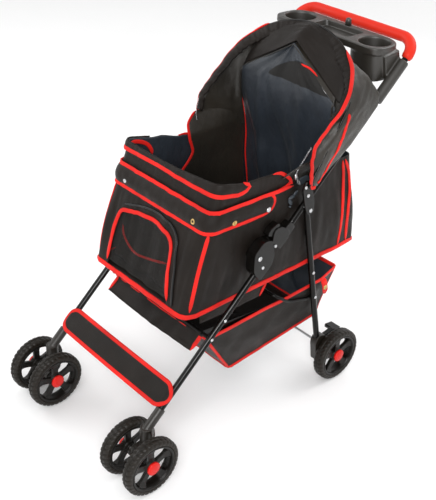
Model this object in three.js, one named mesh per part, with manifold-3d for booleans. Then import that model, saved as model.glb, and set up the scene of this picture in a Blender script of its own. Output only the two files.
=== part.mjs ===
// Folding pet stroller: a straight-line frame with fold locks, hinged rear legs, twin front casters,
// a cloth cabin with a hooded canopy, a basket, a foot band and a tray. Millimetres, +Z up, front at -Y.
import * as THREE from 'three';
import Module from 'manifold-3d';

const wasm = await Module();
wasm.setup();
const { Manifold, Mesh } = wasm;

// ---------------------------------------------------------------- driving dimensions
const GAP = 0.3; // clearance between pieces that touch
const TUBE_R = 8;
const TUBE_WALL = 1.2;
const BORE_R = TUBE_R + GAP;

const LEG_X = 202; // front leg plane
const BAR_X = 190; // handle tube and rear leg plane
const SLOPE = 1.0396; // run along Y per unit of Z of the front leg and handle tube
const LEG_FOOT = { y: -373.7, z: 150 };
const BAR_OFFSET = 25.2; // handle tube line lies this far behind the leg line, along Y
const BAR_END_Z = 927.2; // centre of the push bar
const BAR_CORNER_R = 46;
const GRIP_R = 16;
const GRIP_Z = 887; // where the foam starts on the side tubes

const WHEEL_R = 76;
const FRONT_AXLE = { y: -399.7, z: WHEEL_R };
const REAR_AXLE = { y: 270, z: WHEEL_R };
const FRONT_W = 29; // tyre widths
const REAR_W = 32;
const TWIN = 44.3; // caster centre to each of its wheels
const REAR_WHEEL_X = 220;
const CAP_R = 17.5;
const SWIVEL_Y = -378;

const FOLD = { y: -61.4, z: 503.2 }; // fold pivot
const REAR_PIVOT = { y: 114.5, z: 570 };
const REAR_FOOT = { y: 222, z: 114 };
const HOOP_PIVOT = { y: 95, z: 638 };
const HOOP_TILT = THREE.MathUtils.degToRad(31.5); // backwards from vertical
const HOOP_HALF = 207;
const HOOP_SIDE = 190; // straight part of the hoop's sides
const HOOP_HEIGHT = 366;
const HOOP_R = 2.5;

const LINK_FRONT = { y: -193, z: 324 };
const LINK_REAR = { y: 188, z: 290 };
const LINK_X = 175;
const ROD_R = 5;

const CABIN = {
  frontBottom: [-252, 388], rearBottom: [333, 403], rearTop: [318, 800],
  pivotTop: [112, 640], frontTop: [-163, 683], halfBottom: 178, halfRim: 169, wall: 2.5,
};
const BASKET = { frontTop: [-184, 305], frontBottom: [-94, 169], rearBottom: [208, 206], rearTop: [287, 305], half: 160, wall: 2.5 };
const TRAY = { half: 176, front: 321, back: 428, top: 925, thick: 20, cupX: 126, cupY: 373, cupTop: 40, cupBottom: 33, cupDepth: 84, wall: 3 };

// ---------------------------------------------------------------- helpers
const root = new THREE.Group();
root.name = 'pet_stroller';

const palette = {
  black_tube: 0x141414, steel: 0xb8bcc0, black_plastic: 0x1b1b1c, tyre: 0x1c1a18, red_plastic: 0xd4201c,
  red_foam: 0xe0382c, cloth: 0x17171a, mesh: 0x222224,
};

function add(name, geometry, colour) {
  const material = new THREE.MeshStandardMaterial({ color: palette[colour] });
  const mesh = new THREE.Mesh(geometry, material);
  mesh.name = name;
  root.add(mesh);
}

function toSolid(geometry) {
  const position = geometry.attributes.position;
  const index = geometry.index;
  const count = index ? index.count : position.count;
  const seen = new Map();
  const points = [];
  const triangles = [];
  for (let i = 0; i < count; i++) {
    const k = index ? index.getX(i) : i;
    const p = [position.getX(k), position.getY(k), position.getZ(k)];
    const key = p.map((c) => Math.round(c * 1e4)).join();
    if (!seen.has(key)) { seen.set(key, points.length / 3); points.push(...p); }
    triangles.push(seen.get(key));
  }
  const kept = [];
  for (let i = 0; i < triangles.length; i += 3) {
    const [a, b, c] = triangles.slice(i, i + 3);
    if (a !== b && b !== c && c !== a) kept.push(a, b, c);
  }
  return new Manifold(new Mesh({ numProp: 3, vertProperties: new Float32Array(points), triVerts: new Uint32Array(kept) }));
}

function fromSolid(solid) {
  const mesh = solid.getMesh();
  const geometry = new THREE.BufferGeometry();
  const positions = new Float32Array((mesh.vertProperties.length / mesh.numProp) * 3);
  for (let i = 0; i < positions.length / 3; i++) {
    for (let k = 0; k < 3; k++) positions[i * 3 + k] = mesh.vertProperties[i * mesh.numProp + k];
  }
  geometry.setAttribute('position', new THREE.BufferAttribute(positions, 3));
  geometry.setIndex(new THREE.BufferAttribute(new Uint32Array(mesh.triVerts), 1));
  return geometry;
}

function combine(first, { plus = [], minus = [] }) {
  let solid = toSolid(first);
  for (const g of plus) solid = solid.add(toSolid(g));
  for (const g of minus) solid = solid.subtract(toSolid(g));
  return fromSolid(solid);
}

function mirrored(geometry) {
  const copy = (geometry.index ? geometry.toNonIndexed() : geometry.clone());
  const p = copy.attributes.position;
  for (let i = 0; i < p.count; i += 3) {
    const [a, b, c] = [0, 1, 2].map((k) => [-p.getX(i + k), p.getY(i + k), p.getZ(i + k)]);
    p.setXYZ(i, ...a); p.setXYZ(i + 1, ...c); p.setXYZ(i + 2, ...b);
  }
  return copy;
}

// the left piece lies at +X; its mirror image is the right piece
function addPair(name, geometry, colour) {
  add(`${name}_left`, geometry, colour);
  add(`${name}_right`, mirrored(geometry), colour);
}

// straight round bar or, with an inner radius, a tube with open ends
function bar(from, to, radius, { inner = 0, sides = 14 } = {}) {
  const a = new THREE.Vector3(...from);
  const b = new THREE.Vector3(...to);
  const shape = new THREE.Shape(circle(radius, sides));
  if (inner) shape.holes.push(new THREE.Path(circle(inner, sides)));
  const geometry = new THREE.ExtrudeGeometry(shape, { depth: a.distanceTo(b), bevelEnabled: false, curveSegments: sides });
  const turn = new THREE.Quaternion().setFromUnitVectors(new THREE.Vector3(0, 0, 1), b.clone().sub(a).normalize());
  return geometry.applyQuaternion(turn).translate(a.x, a.y, a.z);
}

function circle(radius, sides) {
  return Array.from({ length: sides }, (_, i) => {
    const t = (i / sides) * 2 * Math.PI;
    return new THREE.Vector2(radius * Math.cos(t), radius * Math.sin(t));
  });
}

// a path that an extrusion follows point by point
class PointPath extends THREE.Curve {
  constructor(points) { super(); this.points = points; }
  getPoint(t) {
    const f = t * (this.points.length - 1);
    const i = Math.min(Math.floor(f), this.points.length - 2);
    return this.points[i].clone().lerp(this.points[i + 1], f - i);
  }
  getPointAt(t) { return this.getPoint(t); }
  getSpacedPoints() { return this.points.map((p) => p.clone()); }
  getTangentAt(t) {
    const i = Math.round(t * (this.points.length - 1));
    const before = this.points[Math.max(i - 1, 0)];
    const here = this.points[i];
    const after = this.points[Math.min(i + 1, this.points.length - 1)];
    const one = here.clone().sub(before).normalize();
    const two = after.clone().sub(here).normalize();
    return one.add(two).normalize();
  }
}

function bent(points, radius, { inner = 0, sides = 10 } = {}) {
  const shape = new THREE.Shape(circle(radius, sides));
  if (inner) shape.holes.push(new THREE.Path(circle(inner, sides)));
  return new THREE.ExtrudeGeometry(shape, { steps: points.length - 1, extrudePath: new PointPath(points), bevelEnabled: false });
}

// a plate whose outline is in the YZ plane, between two X values
function plate(outline, x0, x1, holes = []) {
  const shape = new THREE.Shape(outline.map(([y, z]) => new THREE.Vector2(y, z)));
  for (const h of holes) shape.holes.push(new THREE.Path(h.map(([y, z]) => new THREE.Vector2(y, z))));
  const geometry = new THREE.ExtrudeGeometry(shape, { depth: x1 - x0, bevelEnabled: false });
  const toYZ = new THREE.Matrix4().set(0, 0, 1, x0, 1, 0, 0, 0, 0, 1, 0, 0, 0, 0, 0, 1);
  return geometry.applyMatrix4(toYZ);
}

// rounds the corners of an outline with short arcs
function rounded(outline, radius, steps = 4) {
  const points = outline.map((p) => new THREE.Vector2(...p));
  return points.flatMap((p, i) => {
    const before = points.at(i - 1);
    const after = points[(i + 1) % points.length];
    const a = p.clone().lerp(before, Math.min(0.45, radius / p.distanceTo(before)));
    const b = p.clone().lerp(after, Math.min(0.45, radius / p.distanceTo(after)));
    const curve = new THREE.QuadraticBezierCurve(a, p, b);
    return curve.getPoints(steps).map((q) => [q.x, q.y]);
  });
}

function roundOutline(y, z, radius, sides = 14) {
  return circle(radius, sides).map((p) => [y + p.x, z + p.y]);
}

// a solid turned about an axis parallel to X; profile is [x, r] pairs
function turnedX(profile, y, z, segments) {
  const geometry = new THREE.LatheGeometry(profile.map(([x, r]) => new THREE.Vector2(r, x)), segments);
  return geometry.rotateZ(-Math.PI / 2).translate(0, y, z);
}

function box(x0, x1, y0, y1, z0, z1) {
  return new THREE.BoxGeometry(x1 - x0, y1 - y0, z1 - z0).translate((x0 + x1) / 2, (y0 + y1) / 2, (z0 + z1) / 2);
}

// a closed solid through equal closed sections, capped at both ends
function loft(sections) {
  const n = sections[0].length;
  const position = sections.flat(2);
  const index = [];
  for (let s = 0; s + 1 < sections.length; s++) {
    for (let k = 0; k < n; k++) {
      const [a, b] = [s * n + k, s * n + ((k + 1) % n)];
      index.push(a, b, b + n, a, b + n, a + n);
    }
  }
  const last = (sections.length - 1) * n; // each end is closed by a strip across the section
  for (let k = 0; k + 1 < n / 2; k++) {
    const [a, b, c, d] = [k, k + 1, n - 2 - k, n - 1 - k];
    index.push(a, c, b, a, d, c);
    index.push(last + a, last + b, last + c, last + a, last + c, last + d);
  }
  const geometry = new THREE.BufferGeometry();
  geometry.setAttribute('position', new THREE.Float32BufferAttribute(position, 3));
  geometry.setIndex(index);
  return geometry;
}

// points on the front leg line and the handle tube line at a height
const legAt = (z) => [LEG_X, LEG_FOOT.y + SLOPE * (z - LEG_FOOT.z), z];
const barAt = (z, x = BAR_X) => [x, LEG_FOOT.y + BAR_OFFSET + SLOPE * (z - LEG_FOOT.z), z];
const along = new THREE.Vector2(SLOPE, 1).normalize(); // up the frame line, in YZ
const across = new THREE.Vector2(-along.y, along.x); // square to it, forwards and up

// fold-lock coordinates: s up the leg line and p forwards of it, from where the leg enters the housing
const lockPoint = ([s, p]) => {
  const [, y, z] = legAt(455);
  return [y + s * along.x + p * across.x, z + s * along.y + p * across.y];
};

// ---------------------------------------------------------------- front legs and fold locks
const legTopZ = 455 + 42 * along.y;
addPair('front_leg', bar(legAt(152), legAt(legTopZ), TUBE_R, { inner: TUBE_R - TUBE_WALL }), 'black_tube');

add('front_cross_rod', bar([-(LEG_X - TUBE_R - GAP), LINK_FRONT.y, LINK_FRONT.z], [LEG_X - TUBE_R - GAP, LINK_FRONT.y, LINK_FRONT.z], ROD_R), 'black_tube');

const housingOutline = rounded([[-10, -13], [-6, 24], [28, 60], [66, 60], [84, 38], [62, 0], [42, -14]], 9, 3).map(lockPoint);
const [foldY, foldZ] = [FOLD.y, FOLD.z];
addPair('fold_housing', combine(plate(housingOutline, 187.5, 217), {
  minus: [
    bar(legAt(430), legAt(legTopZ + 1), BORE_R, { sides: 14 }),
    bar([180, foldY, foldZ], [225, foldY, foldZ], 4 + GAP),
  ],
}), 'black_plastic');
addPair('fold_pin', turnedX([[177.8, 0], [177.8, 4], [217.3, 4], [217.3, 6.5], [219, 6], [219.6, 0]], foldY, foldZ, 14), 'steel');

// ---------------------------------------------------------------- handle tube, grip and upper fold sleeves
const barFootZ = 455 + 96 * along.y + 16;
function handlePath(fromZ) {
  const end = new THREE.Vector3(...barAt(BAR_END_Z));
  const side = new THREE.Vector3(0, -along.x, -along.y);
  const bendStart = end.clone().addScaledVector(side, BAR_CORNER_R);
  const bendEnd = end.clone().add(new THREE.Vector3(-BAR_CORNER_R, 0, 0));
  const centre = bendStart.clone().add(new THREE.Vector3(-BAR_CORNER_R, 0, 0));
  const half = [new THREE.Vector3(...barAt(fromZ))];
  const steps = 5;
  for (let i = 0; i <= steps; i++) {
    const t = (i / steps) * (Math.PI / 2);
    half.push(centre.clone()
      .add(new THREE.Vector3(BAR_CORNER_R * Math.cos(t), 0, 0))
      .addScaledVector(side, -BAR_CORNER_R * Math.sin(t)));
  }
  half[half.length - 1].copy(bendEnd);
  return [...half, ...half.map((p) => new THREE.Vector3(-p.x, p.y, p.z)).reverse()];
}
add('handle_tube', bent(handlePath(barFootZ), TUBE_R, { inner: TUBE_R - TUBE_WALL }), 'black_tube');
add('foam_grip', bent(handlePath(GRIP_Z), GRIP_R, { inner: TUBE_R + 2 * GAP }), 'red_foam');

const sleeveOutline = rounded([[88, -32], [88, 22], [100, 25], [140, 25], [152, -2], [150, -30], [120, -32]], 6, 3).map(lockPoint);
const earOutline = rounded([[98, -20], [98, 18], [40, 50], [20, 46], [20, 28], [60, -16]], 8, 3).map(lockPoint);
addPair('fold_sleeve', combine(plate(sleeveOutline, 178.5, 203), {
  plus: [plate(earOutline, 178.5, 186.8)],
  minus: [
    bar(barAt(barFootZ - 1), barAt(640), BORE_R, { sides: 12 }),
    bar([170, foldY, foldZ], [195, foldY, foldZ], 4 + GAP),
  ],
}), 'black_plastic');
const latchOutline = rounded([[86, 40.5], [92, 25.3], [126, 25.3], [126, 36], [104, 44]], 3, 2).map(lockPoint);
addPair('lock_latch', plate(latchOutline, 181, 200), 'black_plastic');

// ---------------------------------------------------------------- rear legs
const bracketOutline = rounded([[112, 558], [128, 566], [124, 596], [106, 654], [88, 656], [80, 634], [92, 590], [102, 564]], 7, 3);
addPair('leg_bracket', combine(plate(bracketOutline, 198.8, 204), {
  minus: [bar([190, REAR_PIVOT.y, REAR_PIVOT.z], [210, REAR_PIVOT.y, REAR_PIVOT.z], 3 + GAP)],
}), 'black_plastic');
addPair('leg_pin', turnedX([[179.5, 0], [179.5, 3], [204.3, 3], [204.3, 5.5], [205.6, 5], [206, 0]], REAR_PIVOT.y, REAR_PIVOT.z, 12), 'steel');

const rearDown = new THREE.Vector2(REAR_FOOT.y - REAR_PIVOT.y, REAR_FOOT.z - REAR_PIVOT.z).normalize();
const rearTop = [BAR_X, REAR_PIVOT.y - 7 * rearDown.x, REAR_PIVOT.z - 7 * rearDown.y];
addPair('rear_leg', combine(bar(rearTop, [BAR_X, REAR_FOOT.y, REAR_FOOT.z], TUBE_R, { inner: TUBE_R - TUBE_WALL }), {
  minus: [bar([175, REAR_PIVOT.y, REAR_PIVOT.z], [205, REAR_PIVOT.y, REAR_PIVOT.z], 3 + GAP)],
}), 'black_tube');
const BRAKE = { y: 250, z: 104, r: 4 }; // pedal pivot
const axleBracket = rounded([[202, 128], [212, 148], [238, 144], [262, 100], [286, 90], [287, 64], [262, 56], [214, 62]], 9, 3);
addPair('axle_bracket', combine(plate(axleBracket, 179.5, 201.5), {
  minus: [
    bar([BAR_X, REAR_FOOT.y - GAP * rearDown.x, REAR_FOOT.z + GAP * rearDown.y], [BAR_X, REAR_PIVOT.y, REAR_PIVOT.z], BORE_R),
    bar([170, REAR_AXLE.y, REAR_AXLE.z], [210, REAR_AXLE.y, REAR_AXLE.z], 4 + GAP),
    bar([170, BRAKE.y, BRAKE.z], [191, BRAKE.y, BRAKE.z], BRAKE.r + GAP),
  ],
}), 'black_plastic');
add('rear_axle', bar([-REAR_WHEEL_X - 8, REAR_AXLE.y, REAR_AXLE.z], [REAR_WHEEL_X + 8, REAR_AXLE.y, REAR_AXLE.z], 4, { sides: 12 }), 'steel');

// brake pedal beside each axle bracket, turning on a boss in the bracket
addPair('brake_pedal', combine(plate(rounded([[240, 98], [244, 113], [300, 122], [330, 118], [330, 112], [300, 110], [262, 97]], 3, 2), 166, 178.8), {
  plus: [
    plate(rounded([[300, 110], [300, 122], [330, 118], [330, 112]], 2, 1), 146, 178.8),
    bar([170, BRAKE.y, BRAKE.z], [190, BRAKE.y, BRAKE.z], BRAKE.r),
  ],
}), 'black_plastic');

// ---------------------------------------------------------------- side links
const linkDir = new THREE.Vector2(LINK_REAR.y - LINK_FRONT.y, LINK_REAR.z - LINK_FRONT.z);
const linkAngle = linkDir.angle();
const linkOutline = [];
for (const [end, start] of [[LINK_FRONT, Math.PI / 2], [LINK_REAR, -Math.PI / 2]]) {
  for (let i = 0; i <= 6; i++) {
    const t = linkAngle + start + (i / 6) * Math.PI;
    linkOutline.push([end.y + 9 * Math.cos(t), end.z + 9 * Math.sin(t)]);
  }
}
addPair('side_link', combine(plate(linkOutline, LINK_X - 2, LINK_X + 2), {
  minus: [bar([150, LINK_FRONT.y, LINK_FRONT.z], [200, LINK_FRONT.y, LINK_FRONT.z], ROD_R + GAP)],
}), 'black_tube');
const uHalf = [[168.5, LINK_REAR.y, LINK_REAR.z], [167.5, 120, 312], [166, 100, 315], [157, 86, 316], [145, 80, 316]]
  .map((p) => new THREE.Vector3(...p));
add('link_cross_bar', bent([...uHalf, ...uHalf.map((p) => new THREE.Vector3(-p.x, p.y, p.z)).reverse()], 4, { sides: 10 }), 'black_tube');

// ---------------------------------------------------------------- wheels
function wheel(name, centreX, outward, width, axle) {
  const half = width / 2;
  const tyre = [[-half, 62], [-half, 70.5], [-half + 6, WHEEL_R], [half - 6, WHEEL_R], [half, 70.5], [half, 62], [-half, 62]];
  const place = (profile) => turnedX(profile.map(([x, r]) => [centreX + outward * x, r]), axle.y, axle.z, 28);
  const closed = (profile) => (outward > 0 ? profile : [...profile].reverse());
  add(`${name}_tyre`, place(closed(tyre)), 'tyre');
  const ring = [[-half, 53], [-half, 61.7], [half, 61.7], [half, 53], [-half, 53]];
  const hub = [[-half - 1, 0], [-half - 1, 14], [half - 7, 19], [half - 7, 0]];
  const spokes = Array.from({ length: 5 }, (_, i) => {
    const spoke = new THREE.BoxGeometry(9, 15, 44).translate(0, 0, 34);
    spoke.rotateX((i / 5) * 2 * Math.PI + 0.35);
    return spoke.translate(centreX + outward * (half - 13), axle.y, axle.z);
  });
  add(`${name}_rim`, combine(place(closed(ring)), {
    plus: [place(closed(hub)), ...spokes],
    minus: [bar([centreX - 30, axle.y, axle.z], [centreX + 30, axle.y, axle.z], 4 + GAP, { sides: 12 })],
  }), 'black_plastic');
  const cap = [[half - 7 + GAP, 0], [half - 7 + GAP, CAP_R], [half - 1, CAP_R], [half + 1.5, CAP_R - 3], [half + 2.5, 0]];
  add(`${name}_cap`, turnedX(closed(cap).map(([x, r]) => [centreX + outward * x, r]), axle.y, axle.z, 18), 'red_plastic');
}

const sides = [['left', 1], ['right', -1]];
for (const [name, side] of sides) {
  wheel(`caster_${name}_outer`, side * (LEG_X + TWIN), side, FRONT_W, FRONT_AXLE);
  wheel(`caster_${name}_inner`, side * (LEG_X - TWIN), -side, FRONT_W, FRONT_AXLE);
  wheel(`rear_${name}`, side * REAR_WHEEL_X, side, REAR_W, REAR_AXLE);
}

// ---------------------------------------------------------------- front casters
const vertical = (y, z0, z1, radius, n = 16) => bar([LEG_X, y, z0], [LEG_X, y, z1], radius, { sides: n });
addPair('caster_socket', combine(vertical(SWIVEL_Y, 112, 152, 16), {
  plus: [bar(legAt(142), legAt(186), 12, { sides: 16 })],
  minus: [bar(legAt(151), legAt(200), BORE_R), vertical(SWIVEL_Y, 100, 141, 5 + GAP, 12)],
}), 'black_plastic');
addPair('caster_fork', combine(vertical(SWIVEL_Y, 94, 111.4, 17), {
  plus: [
    vertical(SWIVEL_Y, 100, 140, 5, 12),
    bar([LEG_X - 26, FRONT_AXLE.y, FRONT_AXLE.z], [LEG_X + 26, FRONT_AXLE.y, FRONT_AXLE.z], 15, { sides: 16 }),
    plate(rounded([[-414, 78], [-410, 106], [-362, 108], [-364, 94], [-388, 66]], 4, 2), LEG_X - 14, LEG_X + 14),
  ],
  minus: [bar([LEG_X - 60, FRONT_AXLE.y, FRONT_AXLE.z], [LEG_X + 60, FRONT_AXLE.y, FRONT_AXLE.z], 4 + GAP, { sides: 12 })],
}), 'black_plastic');
addPair('caster_axle', bar([LEG_X - TWIN - 7, FRONT_AXLE.y, FRONT_AXLE.z], [LEG_X + TWIN + 7, FRONT_AXLE.y, FRONT_AXLE.z], 4, { sides: 12 }), 'steel');

// ---------------------------------------------------------------- tray
function trayPlan(inset) {
  const { half, front, back } = TRAY;
  const shape = new THREE.Shape(rounded([[-half + inset, front + inset], [half - inset, front + inset],
    [half - inset, back - 20 - inset], [half - 34 - inset, back - inset],
    [-half + 34 + inset, back - inset], [-half + inset, back - 20 - inset]], 24, 4).map((p) => new THREE.Vector2(...p)));
  return shape;
}
const upright = (shape, z0, z1) => new THREE.ExtrudeGeometry(shape, { depth: z1 - z0, bevelEnabled: false }).translate(0, 0, z0);
const cone = (x, r0, r1, z0, z1, n = 22) => new THREE.CylinderGeometry(r1, r0, z1 - z0, n).rotateX(Math.PI / 2)
  .translate(x, TRAY.cupY, (z0 + z1) / 2);
const cupFloor = TRAY.top - TRAY.cupDepth;
const middle = new THREE.Shape(rounded([[-66, 338], [66, 338], [66, 408], [-66, 408]], 14, 3).map((p) => new THREE.Vector2(...p)));
add('tray', combine(upright(trayPlan(0), TRAY.top - TRAY.thick, TRAY.top), {
  plus: [
    ...[-1, 1].flatMap((side) => [
      cone(side * TRAY.cupX, TRAY.cupBottom + TRAY.wall, TRAY.cupTop + TRAY.wall + 3, cupFloor - TRAY.wall, TRAY.top - 4),
      bar(barAt(800, side * BAR_X), barAt(GRIP_Z - 3, side * BAR_X), 12.5),
      plate([[392, 842], [372, 862], [352, 912], [404, 912], [410, 880]], side > 0 ? 150 : -182, side > 0 ? 182 : -150),
    ]),
  ],
  minus: [
    ...[-1, 1].flatMap((side) => [
      cone(side * TRAY.cupX, TRAY.cupBottom, TRAY.cupTop, cupFloor, TRAY.top + 0.5),
      bar(barAt(770, side * BAR_X), barAt(940, side * BAR_X), BORE_R, { sides: 12 }),
      bar(barAt(GRIP_Z - 1, side * BAR_X), barAt(960, side * BAR_X), GRIP_R + 1.2),
    ]),
    upright(middle, TRAY.top - 15, TRAY.top + 1),
  ],
}), 'black_plastic');
add('tray_knob', new THREE.CylinderGeometry(7, 8.5, 18, 16).rotateX(Math.PI / 2).translate(0, 417, TRAY.top + GAP + 9), 'black_plastic');

// ---------------------------------------------------------------- cloth pieces, plain closed solids
function taper(geometry) {
  const p = geometry.attributes.position;
  const { frontBottom, frontTop, halfBottom, halfRim } = CABIN;
  for (let i = 0; i < p.count; i++) {
    const up = (p.getZ(i) - frontBottom[1]) / (frontTop[1] - frontBottom[1]);
    const shrink = (halfBottom - halfRim) * Math.min(up, 1) / halfBottom;
    p.setX(i, p.getX(i) * (1 - shrink));
  }
  return geometry;
}
const cabinSide = [CABIN.frontBottom, CABIN.rearBottom, CABIN.rearTop, CABIN.pivotTop, CABIN.frontTop];
const cabinInside = [[-248.6, 390.6], [330.3, 405.6], [314, 830], [112, 720], [-137, 760]];
add('cabin', combine(taper(plate(cabinSide, -CABIN.halfBottom, CABIN.halfBottom)), {
  minus: [
    taper(plate(cabinInside, -CABIN.halfBottom + CABIN.wall, CABIN.halfBottom - CABIN.wall)),
    frontOpening(0, 8),
  ],
}), 'cloth');
// a prism through the cabin's front wall with the door's outline, grown by `extra`
function frontOpening(extra, depth, from = -4) {
  const [y0, z0] = CABIN.frontBottom;
  const [y1, z1] = CABIN.frontTop;
  const shape = new THREE.Shape([[-118, 14], [118, 14], [114, 110], [84, 158], [-84, 158], [-114, 110]]
    .map(([x, up]) => new THREE.Vector2(x + Math.sign(x) * extra, up + (up > 50 ? extra : -extra))));
  const geometry = new THREE.ExtrudeGeometry(shape, { depth, bevelEnabled: false }).translate(0, 0, from);
  const lean = Math.atan2(y1 - y0, z1 - z0);
  return geometry.rotateX(Math.PI / 2 - lean).translate(0, y0, z0);
}
add('mesh_door', frontOpening(-1.2, 2, 0.4 - 2), 'mesh');
add('floor_pad', taper(plate([[-242, 392.5], [326, 407.4], [326, 420], [-240, 405.5]], -171, 171)), 'cloth');

const basketOutline = [BASKET.frontTop, BASKET.frontBottom, BASKET.rearBottom, BASKET.rearTop];
add('basket', combine(plate(basketOutline, -BASKET.half, BASKET.half), {
  minus: [plate([[-186, 312], [-180.5, 305], [-92.5, 171.6], [206.6, 208.3], [283, 305], [286, 312]], -BASKET.half + BASKET.wall, BASKET.half - BASKET.wall)],
}), 'cloth');

const band = ([s, p]) => { const [, y, z] = legAt(186); return [y + s * along.x + p * across.x, z + s * along.y + p * across.y]; };
add('foot_band', plate(rounded([[0, 8.6], [60, 8.6], [60, 12.6], [0, 12.6]], 1, 1).map(band), -214, 214), 'cloth');

const hoop = (u, half, height, side) => { // u from -1 to 1 round the hoop: [x, distance up the hoop plane]
  const t = Math.abs(u);
  const s = Math.sign(u) || 1;
  const sideShare = 0.35;
  if (t > 1 - sideShare) return [s * half, side * (1 - t) / sideShare];
  const a = (t / (1 - sideShare)) * (Math.PI / 2);
  return [s * half * Math.sin(a), side + (height - side) * Math.cos(a)];
};
const onHoopPlane = ([x, r], behind = 0) => [x, HOOP_PIVOT.y + r * Math.sin(HOOP_TILT) + behind * Math.cos(HOOP_TILT),
  HOOP_PIVOT.z + r * Math.cos(HOOP_TILT) - behind * Math.sin(HOOP_TILT)];
const hoopPath = [];
for (let i = 0; i <= 22; i++) hoopPath.push(new THREE.Vector3(...onHoopPlane(hoop(1 - i / 11, HOOP_HALF, HOOP_HEIGHT, HOOP_SIDE))));
add('canopy_hoop', bent(hoopPath, HOOP_R, { sides: 8 }), 'black_tube');

const HOOD_SHOULDER = 806; // where the rear edge leaves the handle tubes
const HOOD_BEHIND = 5; // cloth starts this far behind the wire's centre
// the hood behind the hoop: front edge by the wire, rear edge on the tubes and before the tray
function hood(u, inset) {
  const front = onHoopPlane(hoop(u, HOOP_HALF - inset, HOOP_HEIGHT - inset, HOOP_SIDE), HOOD_BEHIND);
  const up = Math.max(front[2] - HOOP_PIVOT.z, 0) / (HOOP_HEIGHT * Math.cos(HOOP_TILT));
  const rearZ = 606 + up * 312 - inset;
  const rearY = Math.min(barAt(rearZ)[1] + 6, 314 - inset);
  const arch = Math.max(rearZ + inset - HOOD_SHOULDER, 0) / (918 - HOOD_SHOULDER);
  const rearX = Math.sign(front[0]) * (203.5 - inset) * Math.sqrt(Math.max(1 - arch * arch, 0));
  return { front, rear: [rearX, rearY, rearZ], sill: [rearX, rearY, Math.min(rearZ - 5, 803)] };
}
const sections = [];
for (let i = 0; i <= 24; i++) {
  const u = 0.93 - (i / 24) * 1.86;
  const [o, n] = [hood(u, 0), hood(u, 2.6)];
  sections.push([o.front, o.rear, o.sill, n.sill, n.rear, n.front]);
}
add('canopy', loft(sections), 'cloth');

// ---------------------------------------------------------------- stand the object over the origin
const bounds = new THREE.Box3().setFromObject(root);
const centre = bounds.getCenter(new THREE.Vector3());
for (const mesh of root.children) mesh.geometry.translate(-centre.x, -centre.y, -bounds.min.z);

export default root;
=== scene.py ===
"""Looks of the folding pet stroller: tubes, moulded plastics, wheels and sewn cloth round the CAD frame.

Metres, +Z up, front at -Y, the side at +X is called near and the side at -X far.
"""
import math

import bmesh
import bpy
import numpy as np
from mathutils import Matrix, Vector, noise


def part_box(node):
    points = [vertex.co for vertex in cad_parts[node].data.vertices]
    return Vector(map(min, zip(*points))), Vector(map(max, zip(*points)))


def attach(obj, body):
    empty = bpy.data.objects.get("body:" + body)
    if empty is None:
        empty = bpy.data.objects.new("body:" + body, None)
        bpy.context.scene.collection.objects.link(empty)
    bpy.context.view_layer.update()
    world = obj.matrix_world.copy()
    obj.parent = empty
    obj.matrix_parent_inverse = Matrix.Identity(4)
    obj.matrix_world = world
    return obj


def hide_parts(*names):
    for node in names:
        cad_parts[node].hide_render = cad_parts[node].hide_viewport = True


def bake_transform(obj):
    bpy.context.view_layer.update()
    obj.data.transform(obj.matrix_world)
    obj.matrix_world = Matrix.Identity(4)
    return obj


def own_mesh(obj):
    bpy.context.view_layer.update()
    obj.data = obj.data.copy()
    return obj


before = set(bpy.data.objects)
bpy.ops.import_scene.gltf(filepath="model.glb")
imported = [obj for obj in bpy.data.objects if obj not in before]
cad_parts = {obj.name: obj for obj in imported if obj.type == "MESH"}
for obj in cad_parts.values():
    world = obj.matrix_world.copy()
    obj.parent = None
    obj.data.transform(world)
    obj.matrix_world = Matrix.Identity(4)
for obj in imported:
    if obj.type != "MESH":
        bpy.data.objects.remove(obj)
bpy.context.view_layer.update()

# ---------------------------------------------------------------- driving dimensions
TUBE_R = 0.008
LEG_X = 0.202
BAR_X = 0.190
SLOPE = 1.0396  # run along Y per unit of Z of the front legs and the handle tubes
LEG_FOOT = (-0.3737, 0.150)  # y and z of the front leg's lower end
BAR_OFFSET = 0.0252  # the handle tube lies this far behind the leg line, along Y
BAR_END_Z = 0.9272
BAR_CORNER_R = 0.046
GRIP_R = 0.0140
GRIP_BORE = 0.0172  # clearance for the foam in the tray's arms
GRIP_Z = 0.887
HOOP_PIVOT = (0.095, 0.638)
HOOP_TILT = math.radians(31.5)
HOOP_HALF = 0.207
HOOP_SIDE = 0.190
HOOP_HEIGHT = 0.366
REAR_PIVOT = (0.1145, 0.570)
REAR_FOOT = (0.222, 0.114)
TAPE_W = 0.0105  # width of the red binding tape
CLOTH_T = 0.0014
NEAR, FAR = 1, -1


def lerp(a, b, t):
    return a + (b - a) * t


def clamp(t, low=0.0, high=1.0):
    return max(low, min(high, t))


def along_table(table, at):
    """Value of a table of (place, value) pairs at a place, smoothly joined."""
    for (x0, y0), (x1, y1) in zip(table, table[1:]):
        if at <= x1:
            t = clamp((at - x0) / (x1 - x0))
            return lerp(y0, y1, t * t * (3 - 2 * t))
    return table[-1][1]


def leg_at(z, side=NEAR):
    return Vector((side * LEG_X, LEG_FOOT[0] + SLOPE * (z - LEG_FOOT[1]), z))


def bar_at(z, side=NEAR):
    return Vector((side * BAR_X, LEG_FOOT[0] + BAR_OFFSET + SLOPE * (z - LEG_FOOT[1]), z))


FRAME_UP = Vector((0, SLOPE, 1)).normalized()
FRAME_OUT = Vector((0, -FRAME_UP.z, FRAME_UP.y))


def lock_point(s, p, x):
    """s up the leg line and p forwards of it, from where the leg enters the fold lock."""
    start = leg_at(0.455)
    point = start + s * FRAME_UP + p * FRAME_OUT
    return Vector((x, point.y, point.z))


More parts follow.
